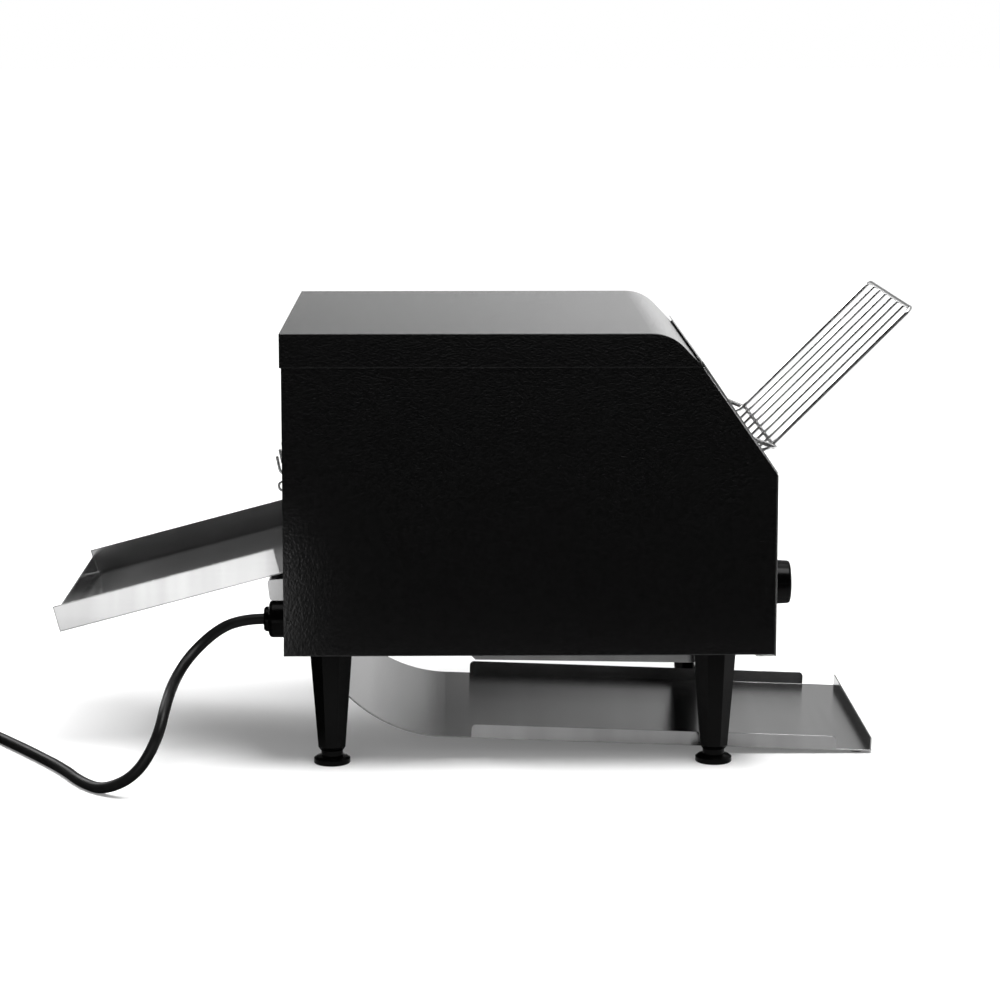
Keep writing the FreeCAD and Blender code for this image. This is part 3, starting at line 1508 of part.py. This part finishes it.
def make_plug_pins():
    start, heading = plug_frame()
    face = plug_relief + plug_length
    pins = []
    for side in (-1, 1):
        blade = Part.makeBox(blade_length, blade_thickness, blade_width)
        blade.translate(Vector(face, side * blade_pitch / 2 - blade_thickness / 2,
                               blade_up - blade_width / 2))
        pins.append(blade)
    pins.append(Part.makeCylinder(earth_radius, earth_length, Vector(face, 0, -earth_drop),
                                  Vector(1, 0, 0)))
    place = plug_placement(start, heading)
    for pin in pins:
        pin.Placement = place.multiply(pin.Placement)
    return pins


# Nodes and export

def nodes():
    far_shaft_end = chain_y + chain_sprocket_thickness
    parts = {
        "top_cover": make_top_cover(),
        "side_panel_left": make_side_panel(),
        "side_panel_right": make_right_side(),
        "rear_panel": make_rear_panel(),
        "front_panel": make_front_panel(),
        "slope_bezel": make_slope_bezel(),
        "base_plate": make_base_plate(),
        "chamber_wall_left": mirrored(make_chamber_wall()),
        "chamber_wall_right": make_chamber_wall(),
        "upper_reflector": make_upper_reflector(),
        "lower_reflector": make_lower_reflector(),
        "control_box_cover": make_control_box(),
        "toast_guide_outer": make_outer_guide(),
        "toast_guide_inner": make_inner_guide(),
        "quartz_tubes_upper": make_quartz_tubes(upper_element_z),
        "quartz_tubes_lower": make_quartz_tubes(lower_element_z),
        "element_filaments": make_filaments(),
        "element_caps": make_element_caps(),
        "conveyor_belt": make_conveyor_belt(),
        "drive_chain": make_drive_chain(),
        "shaft_bushes": make_bushes(),
        "drive_shaft": make_shaft(rear_shaft_x, far_shaft_end),
        "drive_sprockets": make_belt_sprockets(rear_shaft_x),
        "driven_chain_sprocket": make_chain_sprocket(shaft_z, shaft_radius),
        "idler_shaft": make_shaft(front_shaft_x, chamber_outer_y + bush_flange + shaft_reach),
        "idler_sprockets": make_belt_sprockets(front_shaft_x),
        "motor_bracket": make_motor_bracket(),
        "gear_motor": make_gear_motor(),
        "motor_shaft": make_motor_shaft(),
        "motor_sprocket": make_chain_sprocket(motor_z, motor_shaft_radius),
        "loading_rack": make_rack(),
        "rear_gate": make_gate(),
        "rear_tray": make_rear_tray(),
        "tray_bracket": make_tray_bracket(),
        "toast_chute": make_toast_chute(),
        "chute_pads": make_chute_pads(),
        "crumb_tray": make_crumb_tray(),
        "crumb_runners": make_runners(),
        "leg_bolts": make_leg_bolts(),
        "speed_knob": knob_shape(control_y),
        "speed_shaft": make_control_shaft(control_y),
        "speed_control": make_control_body(control_y, control_half),
        "selector_knob": knob_shape(-control_y),
        "selector_shaft": make_control_shaft(-control_y),
        "selector_switch": make_control_body(-control_y, control_half),
        "indicator_lamps": make_lamps(),
        "fan_frame": make_fan_frame(),
        "fan_rotor": make_fan_rotor(),
        "terminal_block": make_terminal_block(),
        "cable_gland": make_cable_gland(),
        "cord": make_cord(),
        "cord_coil": make_cord_coil(),
        "cord_tail": make_cord_tail(),
        "plug": make_plug(),
        "plug_pins": make_plug_pins(),
    }
    names = ("rear_left", "rear_right", "front_left", "front_right")
    legs = []
    for name, (x, y) in zip(names, leg_places()):
        legs.append(make_leg(x, y))
        parts["foot_" + name] = make_foot(x, y)
    parts["legs"] = legs
    return parts


def main():
    os.makedirs("parts", exist_ok=True)
    for name, made in nodes().items():
        shape = Part.makeCompound(made) if isinstance(made, list) else made
        moved = shape.copy()
        moved.translate(Vector(-origin_x, 0, 0))
        if not moved.isValid():
            print("not valid:", name)
        moved.exportStep("parts/" + name + ".step")


main()
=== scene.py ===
import bpy
import math
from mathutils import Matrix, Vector


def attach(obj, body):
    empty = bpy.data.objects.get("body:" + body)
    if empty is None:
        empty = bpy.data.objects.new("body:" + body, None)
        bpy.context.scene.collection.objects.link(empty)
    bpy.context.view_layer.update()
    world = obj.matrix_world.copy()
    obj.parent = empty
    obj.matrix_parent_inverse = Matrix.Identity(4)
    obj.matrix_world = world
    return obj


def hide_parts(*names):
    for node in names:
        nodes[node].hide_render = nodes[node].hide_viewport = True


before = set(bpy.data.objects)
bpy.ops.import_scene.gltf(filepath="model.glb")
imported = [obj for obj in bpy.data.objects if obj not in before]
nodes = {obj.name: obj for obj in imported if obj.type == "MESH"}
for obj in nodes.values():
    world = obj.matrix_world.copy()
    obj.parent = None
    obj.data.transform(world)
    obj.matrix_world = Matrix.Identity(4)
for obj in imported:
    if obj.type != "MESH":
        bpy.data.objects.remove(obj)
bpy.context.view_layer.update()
scene = bpy.context.scene
scene.view_settings.view_transform = "Standard"


# Camera, at the photograph's place: 2.5 m in front of the side, above the cabinet's top and
# tilted down a little

camera_place = Vector((-0.02488, -2.54281, 0.64404))
camera_yaw = 0.016746
camera_pitch = 0.135632
camera_focal = 2.84091  # focal length over the picture's width
sensor_width = 36
camera_shift = -0.1
far_clip = 200

camera_data = bpy.data.cameras.new("camera")
camera_data.sensor_width = sensor_width
camera_data.lens = sensor_width * camera_focal
camera_data.shift_y = camera_shift
camera_data.clip_end = far_clip
camera = bpy.data.objects.new("camera", camera_data)
scene.collection.objects.link(camera)
ahead = Vector((math.sin(camera_yaw) * math.cos(camera_pitch),
                math.cos(camera_yaw) * math.cos(camera_pitch), -math.sin(camera_pitch)))
camera.location = camera_place
camera.rotation_euler = ahead.to_track_quat("-Z", "Y").to_euler()
scene.camera = camera


# Shader helpers

bevel_samples = 4


class Surface:
    """A material with a principled shader and small helpers for its texture nodes."""

    def __init__(self, name, colour, roughness, metallic=0.0, specular=0.5, ior=1.5):
        self.material = bpy.data.materials.new(name)
        self.material.use_nodes = True
        self.tree = self.material.node_tree
        self.shader = self.tree.nodes["Principled BSDF"]
        self.shader.inputs["Base Color"].default_value = (*colour, 1)
        self.shader.inputs["Roughness"].default_value = roughness
        self.shader.inputs["Metallic"].default_value = metallic
        self.shader.inputs["Specular IOR Level"].default_value = specular
        self.shader.inputs["IOR"].default_value = ior
        self.place = self.tree.nodes.new("ShaderNodeTexCoord").outputs["Object"]
        self.edge = None

    def node(self, kind, **values):
        """A new node with the given properties."""
        made = self.tree.nodes.new(kind)
        for key, value in values.items():
            setattr(made, key, value)
        return made

    def link(self, out, into):
        self.tree.links.new(out, into)

    def scaled(self, scale):
        mapping = self.node("ShaderNodeMapping")
        mapping.inputs["Scale"].default_value = scale
        self.link(self.place, mapping.inputs["Vector"])
        return mapping.outputs["Vector"]

    def noise(self, scale, detail=4.0, roughness=0.55):
        """Noise with one scale, or with one for each axis."""
        texture = self.node("ShaderNodeTexNoise")
        texture.inputs["Scale"].default_value = 1.0
        texture.inputs["Detail"].default_value = detail
        texture.inputs["Roughness"].default_value = roughness
        size = scale if isinstance(scale, tuple) else (scale,) * 3
        self.link(self.scaled(size), texture.inputs["Vector"])
        return texture.outputs["Fac"]

    def cells(self, scale):
        texture = self.node("ShaderNodeTexVoronoi")
        texture.inputs["Scale"].default_value = scale
        self.link(self.place, texture.inputs["Vector"])
        return texture

    def ramp(self, source, low, high):
        """Runs between two stops, each a (position, grey) or a (position, colour)."""
        made = self.node("ShaderNodeValToRGB")
        for item, (position, value) in zip(made.color_ramp.elements, (low, high)):
            item.position = position
            item.color = (value, value, value, 1) if isinstance(value, float) else (*value, 1)
        self.link(source, made.inputs["Fac"])
        return made.outputs["Color"]

    def bump(self, *layers):
        """Stacks (height, distance in metres) layers into one normal."""
        normal = self.edge
        for height, distance in layers:
            made = self.node("ShaderNodeBump")
            made.inputs["Distance"].default_value = distance
            made.inputs["Strength"].default_value = 1.0
            self.link(height, made.inputs["Height"])
            if normal:
                self.link(normal, made.inputs["Normal"])
            normal = made.outputs["Normal"]
        self.link(normal, self.shader.inputs["Normal"])

    def rounded(self, radius):
        """Lets light catch the edges as on a folded corner. The bump comes on top of it."""
        made = self.node("ShaderNodeBevel", samples=bevel_samples)
        made.inputs["Radius"].default_value = radius
        self.edge = made.outputs["Normal"]

    def set(self, socket, source):
        self.link(source, self.shader.inputs[socket])

    def fix(self, socket, value):
        self.shader.inputs[socket].default_value = value


def dress(material, *names):
    """Gives the named pieces one material."""
    for name in names:
        mesh = nodes[name].data
        mesh.materials.clear()
        mesh.materials.append(material)
        for polygon in mesh.polygons:
            polygon.material_index = 0


x_axis, y_axis = 0, 1


# Materials. Noise scales are per metre, bump heights and fold radii are in metres.

def black_paint():
    """Fine-textured black powder coat."""
    made = Surface("black_powder_coat", (0.002, 0.002, 0.002), 0.2, specular=0.35)
    made.rounded(0.0014)
    grain = made.noise(520.0, detail=1.0)
    fine = made.noise(1100.0, detail=2.0)
    made.set("Roughness", made.ramp(fine, (0.3, 0.14), (0.7, 0.22)))
    made.set("Base Color", made.ramp(grain, (0.35, 0.001), (0.7, 0.003)))
    made.bump((grain, 0.00014), (fine, 0.00004))
    return made.material


def stretched(across, along, scale_along):
    """A noise scale for each axis, with its own value along one of them."""
    scales = [across] * 3
    scales[along] = scale_along
    return tuple(scales)


def brushed(name, along, colour, roughness, fold=0.0007):
    """Stainless sheet with its grain along one axis and faint rolling bands across it."""
    made = Surface(name, (colour,) * 3, roughness, metallic=1.0)
    made.rounded(fold)
    smear = made.node("ShaderNodeCombineXYZ")
    for socket, value in zip(smear.inputs, stretched(1.0, along, 0.0)):
        socket.default_value = value
    made.set("Tangent", smear.outputs[0])
    made.fix("Anisotropic", 0.7)
    grain = made.noise(stretched(1600.0, along, 14.0), detail=3.0, roughness=0.7)
    bands = made.noise(stretched(500.0, along, 5.0), detail=3.0)
    rolled = made.noise(stretched(3.0, along, 45.0), detail=2.0)
    made.set("Roughness", made.ramp(bands, (0.25, roughness - 0.01), (0.75, roughness + 0.015)))
    made.set("Base Color", made.ramp(rolled, (0.3, colour * 0.9), (0.7, colour * 1.08)))
    made.bump((grain, 0.0000006))
    return made.material


def inner_sheet():
    """Aluminised steel: dull, with a faint crystal pattern."""
    made = Surface("aluminised_sheet", (0.5, 0.5, 0.49), 0.4, metallic=1.0)
    spangle = made.cells(160.0)
    made.set("Roughness", made.ramp(spangle.outputs["Color"], (0.0, 0.34), (1.0, 0.5)))
    cloud = made.noise(22.0)
    made.set("Base Color", made.ramp(cloud, (0.3, (0.42, 0.41, 0.4)), (0.75, (0.56, 0.56, 0.55))))
    made.bump((made.noise(500.0, detail=2.0), 0.00002))
    return made.material


def bright_wire():
    """Drawn and polished wire."""
    made = Surface("bright_wire", (0.6, 0.6, 0.6), 0.17, metallic=1.0)
    draw = made.noise(260.0, detail=3.0)
    made.set("Roughness", made.ramp(draw, (0.3, 0.13), (0.7, 0.26)))
    made.bump((made.noise(1500.0, detail=2.0), 0.000008))
    return made.material


def turned_steel():
    """Machined steel with rings round the shafts' axis and a film of oil."""
    made = Surface("turned_steel", (0.42, 0.42, 0.42), 0.3, metallic=1.0)
    rings = made.noise(stretched(400.0, y_axis, 900.0), detail=3.0)
    oil = made.noise(40.0)
    made.set("Roughness", made.ramp(rings, (0.3, 0.22), (0.7, 0.42)))
    made.set("Base Color", made.ramp(oil, (0.3, (0.32, 0.31, 0.3)), (0.7, (0.46, 0.46, 0.46))))
    made.bump((rings, 0.00001))
    return made.material


def black_plastic():
    """Moulded plastic of the legs, feet, knobs, gland, switches and fan."""
    made = Surface("black_moulding", (0.002, 0.002, 0.002), 0.2, specular=0.05)
    pores = made.noise(1300.0, detail=2.0)
    flow = made.noise(45.0, detail=2.0)
    made.set("Roughness", made.ramp(flow, (0.3, 0.16), (0.7, 0.24)))
    made.set("Base Color", made.ramp(flow, (0.3, 0.0006), (0.7, 0.0013)))
    made.bump((pores, 0.00002))
    return made.material


def rubber(name, roughness):
    """Black rubber with a little dust on it."""
    made = Surface(name, (0.004, 0.004, 0.004), roughness, specular=0.12)
    skin = made.noise(900.0, detail=3.0)
    dust = made.noise(70.0, detail=3.0)
    made.set("Roughness", made.ramp(dust, (0.3, roughness - 0.06), (0.75, roughness + 0.12)))
    made.set("Base Color", made.ramp(dust, (0.3, 0.003), (0.8, 0.006)))
    made.bump((skin, 0.00003))
    return made.material


def quartz():
    """Satin quartz glass."""
    made = Surface("satin_quartz", (0.9, 0.9, 0.88), 0.25, ior=1.46)
    made.fix("Transmission Weight", 0.7)
    frost = made.noise(500.0, detail=3.0)
    made.set("Roughness", made.ramp(frost, (0.3, 0.2), (0.7, 0.38)))
    made.bump((frost, 0.00001))
    return made.material


def heating_wire():
    """Wound resistance wire, seen as fine dark turns."""
    made = Surface("heating_wire", (0.25, 0.18, 0.12), 0.45, metallic=1.0)
    wave = made.node("ShaderNodeTexWave", bands_direction="Y")
    wave.inputs["Scale"].default_value = 160.0
    made.link(made.place, wave.inputs["Vector"])
    made.set("Base Color", made.ramp(wave.outputs["Fac"], (0.2, (0.05, 0.035, 0.025)),
                                     (0.7, (0.4, 0.3, 0.2))))
    made.bump((wave.outputs["Fac"], 0.0004))
    return made.material


def plain(name, low, high, roughness, metallic=0.0):
    """A moulded or cast surface whose colour wanders between two close shades."""
    made = Surface(name, high, roughness, metallic=metallic, specular=0.4)
    made.set("Base Color", made.ramp(made.noise(55.0), (0.3, low), (0.7, high)))
    wear = made.noise(130.0, detail=3.0)
    made.set("Roughness", made.ramp(wear, (0.3, roughness - 0.06), (0.7, roughness + 0.08)))
    made.bump((made.noise(900.0, detail=3.0), 0.00003))
    return made.material


def lens():
    """Amber indicator lens with small facets."""
    made = Surface("amber_lens", (0.75, 0.3, 0.04), 0.12, ior=1.49)
    made.fix("Transmission Weight", 0.35)
    facets = made.cells(700.0)
    made.bump((facets.outputs["Distance"], 0.0001))
    made.set("Base Color", made.ramp(made.noise(120.0), (0.3, (0.62, 0.2, 0.02)),
                                     (0.7, (0.85, 0.36, 0.06))))
    return made.material


# The base plate's black paint is painted shade: it darkens the plate's underside as the chute
# reflects it.
dress(black_paint(), "top_cover", "side_panel_left", "side_panel_right", "base_plate")
# The chute's and crumb tray's stainless is darkened to 0.22, against 0.42 elsewhere: painted
# shade.
dress(brushed("stainless_chute_painted_shade", along=x_axis, colour=0.22, roughness=0.22),
      "toast_chute", "crumb_tray")
dress(brushed("stainless_tray", along=x_axis, colour=0.42, roughness=0.14, fold=0.0015),
      "rear_tray")
dress(brushed("stainless_along_y", along=y_axis, colour=0.42, roughness=0.22),
      "front_panel", "rear_panel", "toast_guide_outer", "toast_guide_inner", "tray_bracket")
# The bezel's stainless is brightened to 0.85, against 0.42 elsewhere: painted highlight.
dress(brushed("stainless_frame_painted_highlight", along=y_axis, colour=0.85, roughness=0.14, fold=0.002),
      "slope_bezel")
dress(inner_sheet(), "chamber_wall_left", "chamber_wall_right", "upper_reflector",
      "lower_reflector", "control_box_cover", "motor_bracket", "crumb_runners")
dress(bright_wire(), "conveyor_belt", "loading_rack", "rear_gate")
dress(turned_steel(), "drive_chain", "shaft_bushes", "drive_shaft", "drive_sprockets",
      "driven_chain_sprocket", "idler_shaft", "idler_sprockets", "motor_shaft", "motor_sprocket",
      "leg_bolts", "speed_shaft", "selector_shaft")
dress(black_plastic(), "legs", "foot_rear_left", "foot_rear_right", "foot_front_left",
      "foot_front_right", "speed_knob", "selector_knob", "speed_control", "selector_switch",
      "fan_frame", "fan_rotor", "cable_gland")
dress(rubber("plug_rubber", 0.42), "plug", "chute_pads")
dress(quartz(), "quartz_tubes_upper", "quartz_tubes_lower")
dress(heating_wire(), "element_filaments")
dress(plain("ceramic", (0.72, 0.69, 0.63), (0.82, 0.8, 0.75), 0.45), "element_caps")
dress(plain("motor_case", (0.3, 0.31, 0.32), (0.42, 0.42, 0.42), 0.42, metallic=1.0), "gear_motor")
dress(lens(), "indicator_lamps")
dress(plain("terminal_body", (0.6, 0.57, 0.48), (0.7, 0.67, 0.58), 0.42), "terminal_block")
dress(plain("nickel_pin", (0.5, 0.49, 0.45), (0.62, 0.61, 0.57), 0.22, metallic=1.0), "plug_pins")


# Cord: one curve from the gland to the photograph's left edge, then the coil and the plug

cord_diameter = 0.0094
cord_radius = cord_diameter / 2
cord_steps_along = 10
cord_steps_round = 7
cord_exit = Vector((-0.18791, -0.137, 0.1256))
route = [
    cord_exit, (-0.20271, -0.137, 0.1256), (-0.22551, -0.1395, 0.119),
    (-0.24961, -0.1505, 0.0988), (-0.26141, -0.1776, 0.0834), (-0.26391, -0.2305, 0.0751),
    (-0.26901, -0.2545, 0.0499), (-0.28641, -0.2587, 0.0204), (-0.31491, -0.2473, 0.0047),
    (-0.33721, -0.2211, 0.0047), (-0.35711, -0.1792, 0.0047), (-0.38831, -0.1303, 0.0047),
    (-0.42191, -0.0806, 0.0047), (-0.44981, -0.0415, 0.0047),
]
coil_centre = Vector((-0.50676, -0.06839, 0))
coil_start_angle = math.radians(33.859)
coil_outer = 0.062
coil_pitch = 0.010  # towards the middle in each turn of the lower layer
coil_in_turns = 1.0
coil_rise_turns = 0.5
coil_turns = 2.5
coil_out_pitch = 0.015  # away from the middle in each turn of the upper layer
coil_layer = cord_diameter + 0.0005
coil_steps = 16
tail = [(-0.54550, -0.12375, 0.0146), (-0.53818, -0.13685, 0.0125), (-0.53137, -0.15027, 0.0125)]


def coil_point(turn):
    """A point of the coil after a number of turns: in, up one layer, and out."""
    rise = min(max((turn - coil_in_turns) / coil_rise_turns, 0), 1)
    inward = min(turn, coil_in_turns + coil_rise_turns)
    radius = coil_outer - coil_pitch * inward + coil_out_pitch * (turn - inward)
    radius /= math.cos(math.pi / coil_steps)
    z = cord_radius + coil_layer * rise * rise * (3 - 2 * rise)
    angle = coil_start_angle + 2 * math.pi * turn
    return coil_centre + Vector((radius * math.cos(angle), radius * math.sin(angle), z))


cord_points = [Vector(point) for point in route]
cord_points += [coil_point(number / coil_steps)
                for number in range(1, int(coil_turns * coil_steps) + 1)]
cord_points += [Vector(point) for point in tail]
cord_curve = bpy.data.curves.new("mains_cord", "CURVE")
cord_curve.dimensions = "3D"
spline = cord_curve.splines.new("NURBS")
spline.points.add(len(cord_points) - 1)
for point, place in zip(spline.points, cord_points):
    point.co = (*place, 1)
spline.order_u = 3
spline.use_endpoint_u = True
spline.resolution_u = cord_steps_along
cord_curve.bevel_depth = cord_radius
cord_curve.bevel_resolution = cord_steps_round
cord_curve.use_fill_caps = True
cord = bpy.data.objects.new("mains_cord", cord_curve)
scene.collection.objects.link(cord)
cord_curve.materials.append(rubber("cord_jacket", 0.36))
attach(cord, "cabinet")
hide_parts("cord", "cord_coil", "cord_tail")


# Floor, world and lamps

class Steps:
    """Writes arithmetic on numbers and sockets as shader nodes."""

    def __init__(self, tree):
        self.tree = tree
        self.path = tree.nodes.new("ShaderNodeLightPath").outputs

    def math(self, operation, first, second):
        made = self.tree.nodes.new("ShaderNodeMath")
        made.operation = operation
        for socket, value in zip(made.inputs, (first, second)):
            if isinstance(value, (int, float)):
                socket.default_value = value
            else:
                self.tree.links.new(value, socket)
        return made.outputs[0]

    def times(self, first, second):
        return self.math("MULTIPLY", first, second)

    def span(self, value, start, stop):
        """A smooth step from 0 at the start to 1 at the stop."""
        made = self.tree.nodes.new("ShaderNodeMapRange")
        made.interpolation_type = "SMOOTHSTEP"
        made.inputs["From Min"].default_value = start
        made.inputs["From Max"].default_value = stop
        self.tree.links.new(value, made.inputs["Value"])
        return made.outputs[0]

    def axes(self, source):
        made = self.tree.nodes.new("ShaderNodeSeparateXYZ")
        self.tree.links.new(source, made.inputs[0])
        return made.outputs

    def any(self, *rays):
        """1 for the named kinds of ray and 0 for the others."""
        value = self.path[rays[0]]
        for ray in rays[1:]:
            value = self.math("MAXIMUM", value, self.path[ray])
        return value

    def blend(self, share, low, high):
        """Low where the share is 0 and high where it is 1."""
        return self.math("ADD", self.times(share, high),
                         self.times(self.math("SUBTRACT", 1.0, share), low))


floor_reach = 30
floor_near, floor_far = 0.55, 1.5
floor_shade_near, floor_shade_far = 0.8, 0.25
floor_glow_near, floor_glow_far = 0.14, 1.0
floor_kept = 0.03  # share of the floor that mirrors find in its dark parts

# Smooth steps into the dark parts, from start to stop in metres
front_dark_y = (-0.22, -0.6)
tray_dark_x = (-0.12, -0.24)
tray_dark_y = (0.9, 0.4)


def bright_floor():
    """Pale floor that keeps the object's shadow and turns plain white further out. Mirrors
    find it dark in front of the object, and from under the tray out to the left."""
    material = bpy.data.materials.new("pale_floor")
    material.use_nodes = True
    tree = material.node_tree
    tree.nodes.clear()
    steps = Steps(tree)
    out = tree.nodes.new("ShaderNodeOutputMaterial")
    diffuse = tree.nodes.new("ShaderNodeBsdfDiffuse")
    glow = tree.nodes.new("ShaderNodeEmission")
    place = tree.nodes.new("ShaderNodeTexCoord").outputs["Object"]
    length = tree.nodes.new("ShaderNodeVectorMath")
    length.operation = "LENGTH"
    tree.links.new(place, length.inputs[0])
    far = steps.span(length.outputs["Value"], floor_near, floor_far)
    where = steps.axes(place)
    in_front = steps.span(where["Y"], *front_dark_y)
    under_tray = steps.times(steps.span(where["X"], *tray_dark_x),
                             steps.span(where["Y"], *tray_dark_y))
    dark = steps.times(steps.path["Is Glossy Ray"], steps.math("MAXIMUM", in_front, under_tray))
    kept = steps.blend(dark, 1.0, floor_kept)
    shade = steps.times(steps.blend(far, floor_shade_near, floor_shade_far), kept)
    tree.links.new(shade, diffuse.inputs["Color"])
    seen = steps.any("Is Camera Ray", "Is Glossy Ray", "Is Transmission Ray")
    own_light = steps.blend(far, floor_glow_near, floor_glow_far)
    tree.links.new(steps.times(steps.times(seen, kept), own_light), glow.inputs["Strength"])
    add = tree.nodes.new("ShaderNodeAddShader")
    tree.links.new(diffuse.outputs[0], add.inputs[0])
    tree.links.new(glow.outputs[0], add.inputs[1])
    tree.links.new(add.outputs[0], out.inputs["Surface"])
    return material


floor_mesh = bpy.data.meshes.new("floor")
floor_corners = [(x * floor_reach, y * floor_reach, 0)
                 for x, y in ((-1, -1), (1, -1), (1, 1), (-1, 1))]
floor_mesh.from_pydata(floor_corners, [], [(0, 1, 2, 3)])
floor = bpy.data.objects.new("floor", floor_mesh)
scene.collection.objects.link(floor)
floor_mesh.materials.append(bright_floor())


# How bright mirrors find the studio, from left to right
studio_low = (0.23, 1.38)  # near the horizon
studio_high = (0.05, 0.6)
studio_far_right = 0.5  # share of the low light that is left at the far right
studio_front = 0.03  # share that is left above the floor in front
studio_diffuse = 0.4
studio_seen = 1.0

# Smooth steps over the direction of the ray, from start to stop
low_right_x = (-0.3, 0.17)
low_far_right_x = (0.16, 0.3)
high_right_x = (-0.02, 0.14)
high_z = (0.09, 0.17)
front_y = (-0.15, -0.6)
front_z = (0.0, 0.1)


def studio():
    """White for the camera. Mirrors find it bright low on the right, dimmer on the left and
    above, and dark above the floor in front."""
    made = bpy.data.worlds.new("studio")
    scene.world = made
    made.use_nodes = True
    tree = made.node_tree
    tree.nodes.clear()
    steps = Steps(tree)
    out = tree.nodes.new("ShaderNodeOutputWorld")
    back = tree.nodes.new("ShaderNodeBackground")
    way = steps.axes(tree.nodes.new("ShaderNodeTexCoord").outputs["Generated"])
    far_right = steps.span(way["X"], *low_far_right_x)
    low = steps.times(steps.blend(steps.span(way["X"], *low_right_x), *studio_low),
                      steps.blend(far_right, 1.0, studio_far_right))
    high = steps.blend(steps.span(way["X"], *high_right_x), *studio_high)
    round_about = steps.blend(steps.span(way["Z"], *high_z), low, high)
    front = steps.times(steps.span(way["Y"], *front_y), steps.span(way["Z"], *front_z))
    mirrored = steps.times(round_about, steps.blend(front, 1.0, studio_front))
    unseen = steps.blend(steps.path["Is Glossy Ray"], studio_diffuse, mirrored)
    seen = steps.any("Is Camera Ray", "Is Transmission Ray")
    tree.links.new(steps.blend(seen, unseen, studio_seen), back.inputs["Strength"])
    back.inputs["Color"].default_value = (1, 1, 1, 1)
    tree.links.new(back.outputs[0], out.inputs["Surface"])


studio()


def softbox(name, place, target, size, power):
    """A rectangular lamp that the camera doesn't see, turned to its target. Power in watts."""
    data = bpy.data.lights.new(name, "AREA")
    data.shape = "RECTANGLE"
    data.size, data.size_y = size
    data.energy = power
    lamp = bpy.data.objects.new(name, data)
    scene.collection.objects.link(lamp)
    lamp.location = place
    lamp.rotation_euler = (Vector(target) - Vector(place)).to_track_quat("-Z", "Y").to_euler()
    lamp.visible_camera = False


softbox("key", (0.6, -1.0, 2.8), (0, 0, 0.1), (1.3, 1.3), 80)
softbox("left_back", (-1.4, 1.3, 1.7), (-0.2, 0, 0), (1.2, 1.2), 45)
softbox("low_left", (-0.345, -0.5, 0.08), (-0.345, 0.0, 0.08), (0.3, 0.12), 0.235)
softbox("overhead", (0.0, 0.3, 2.6), (0, 0, 0), (2.0, 2.0), 40)
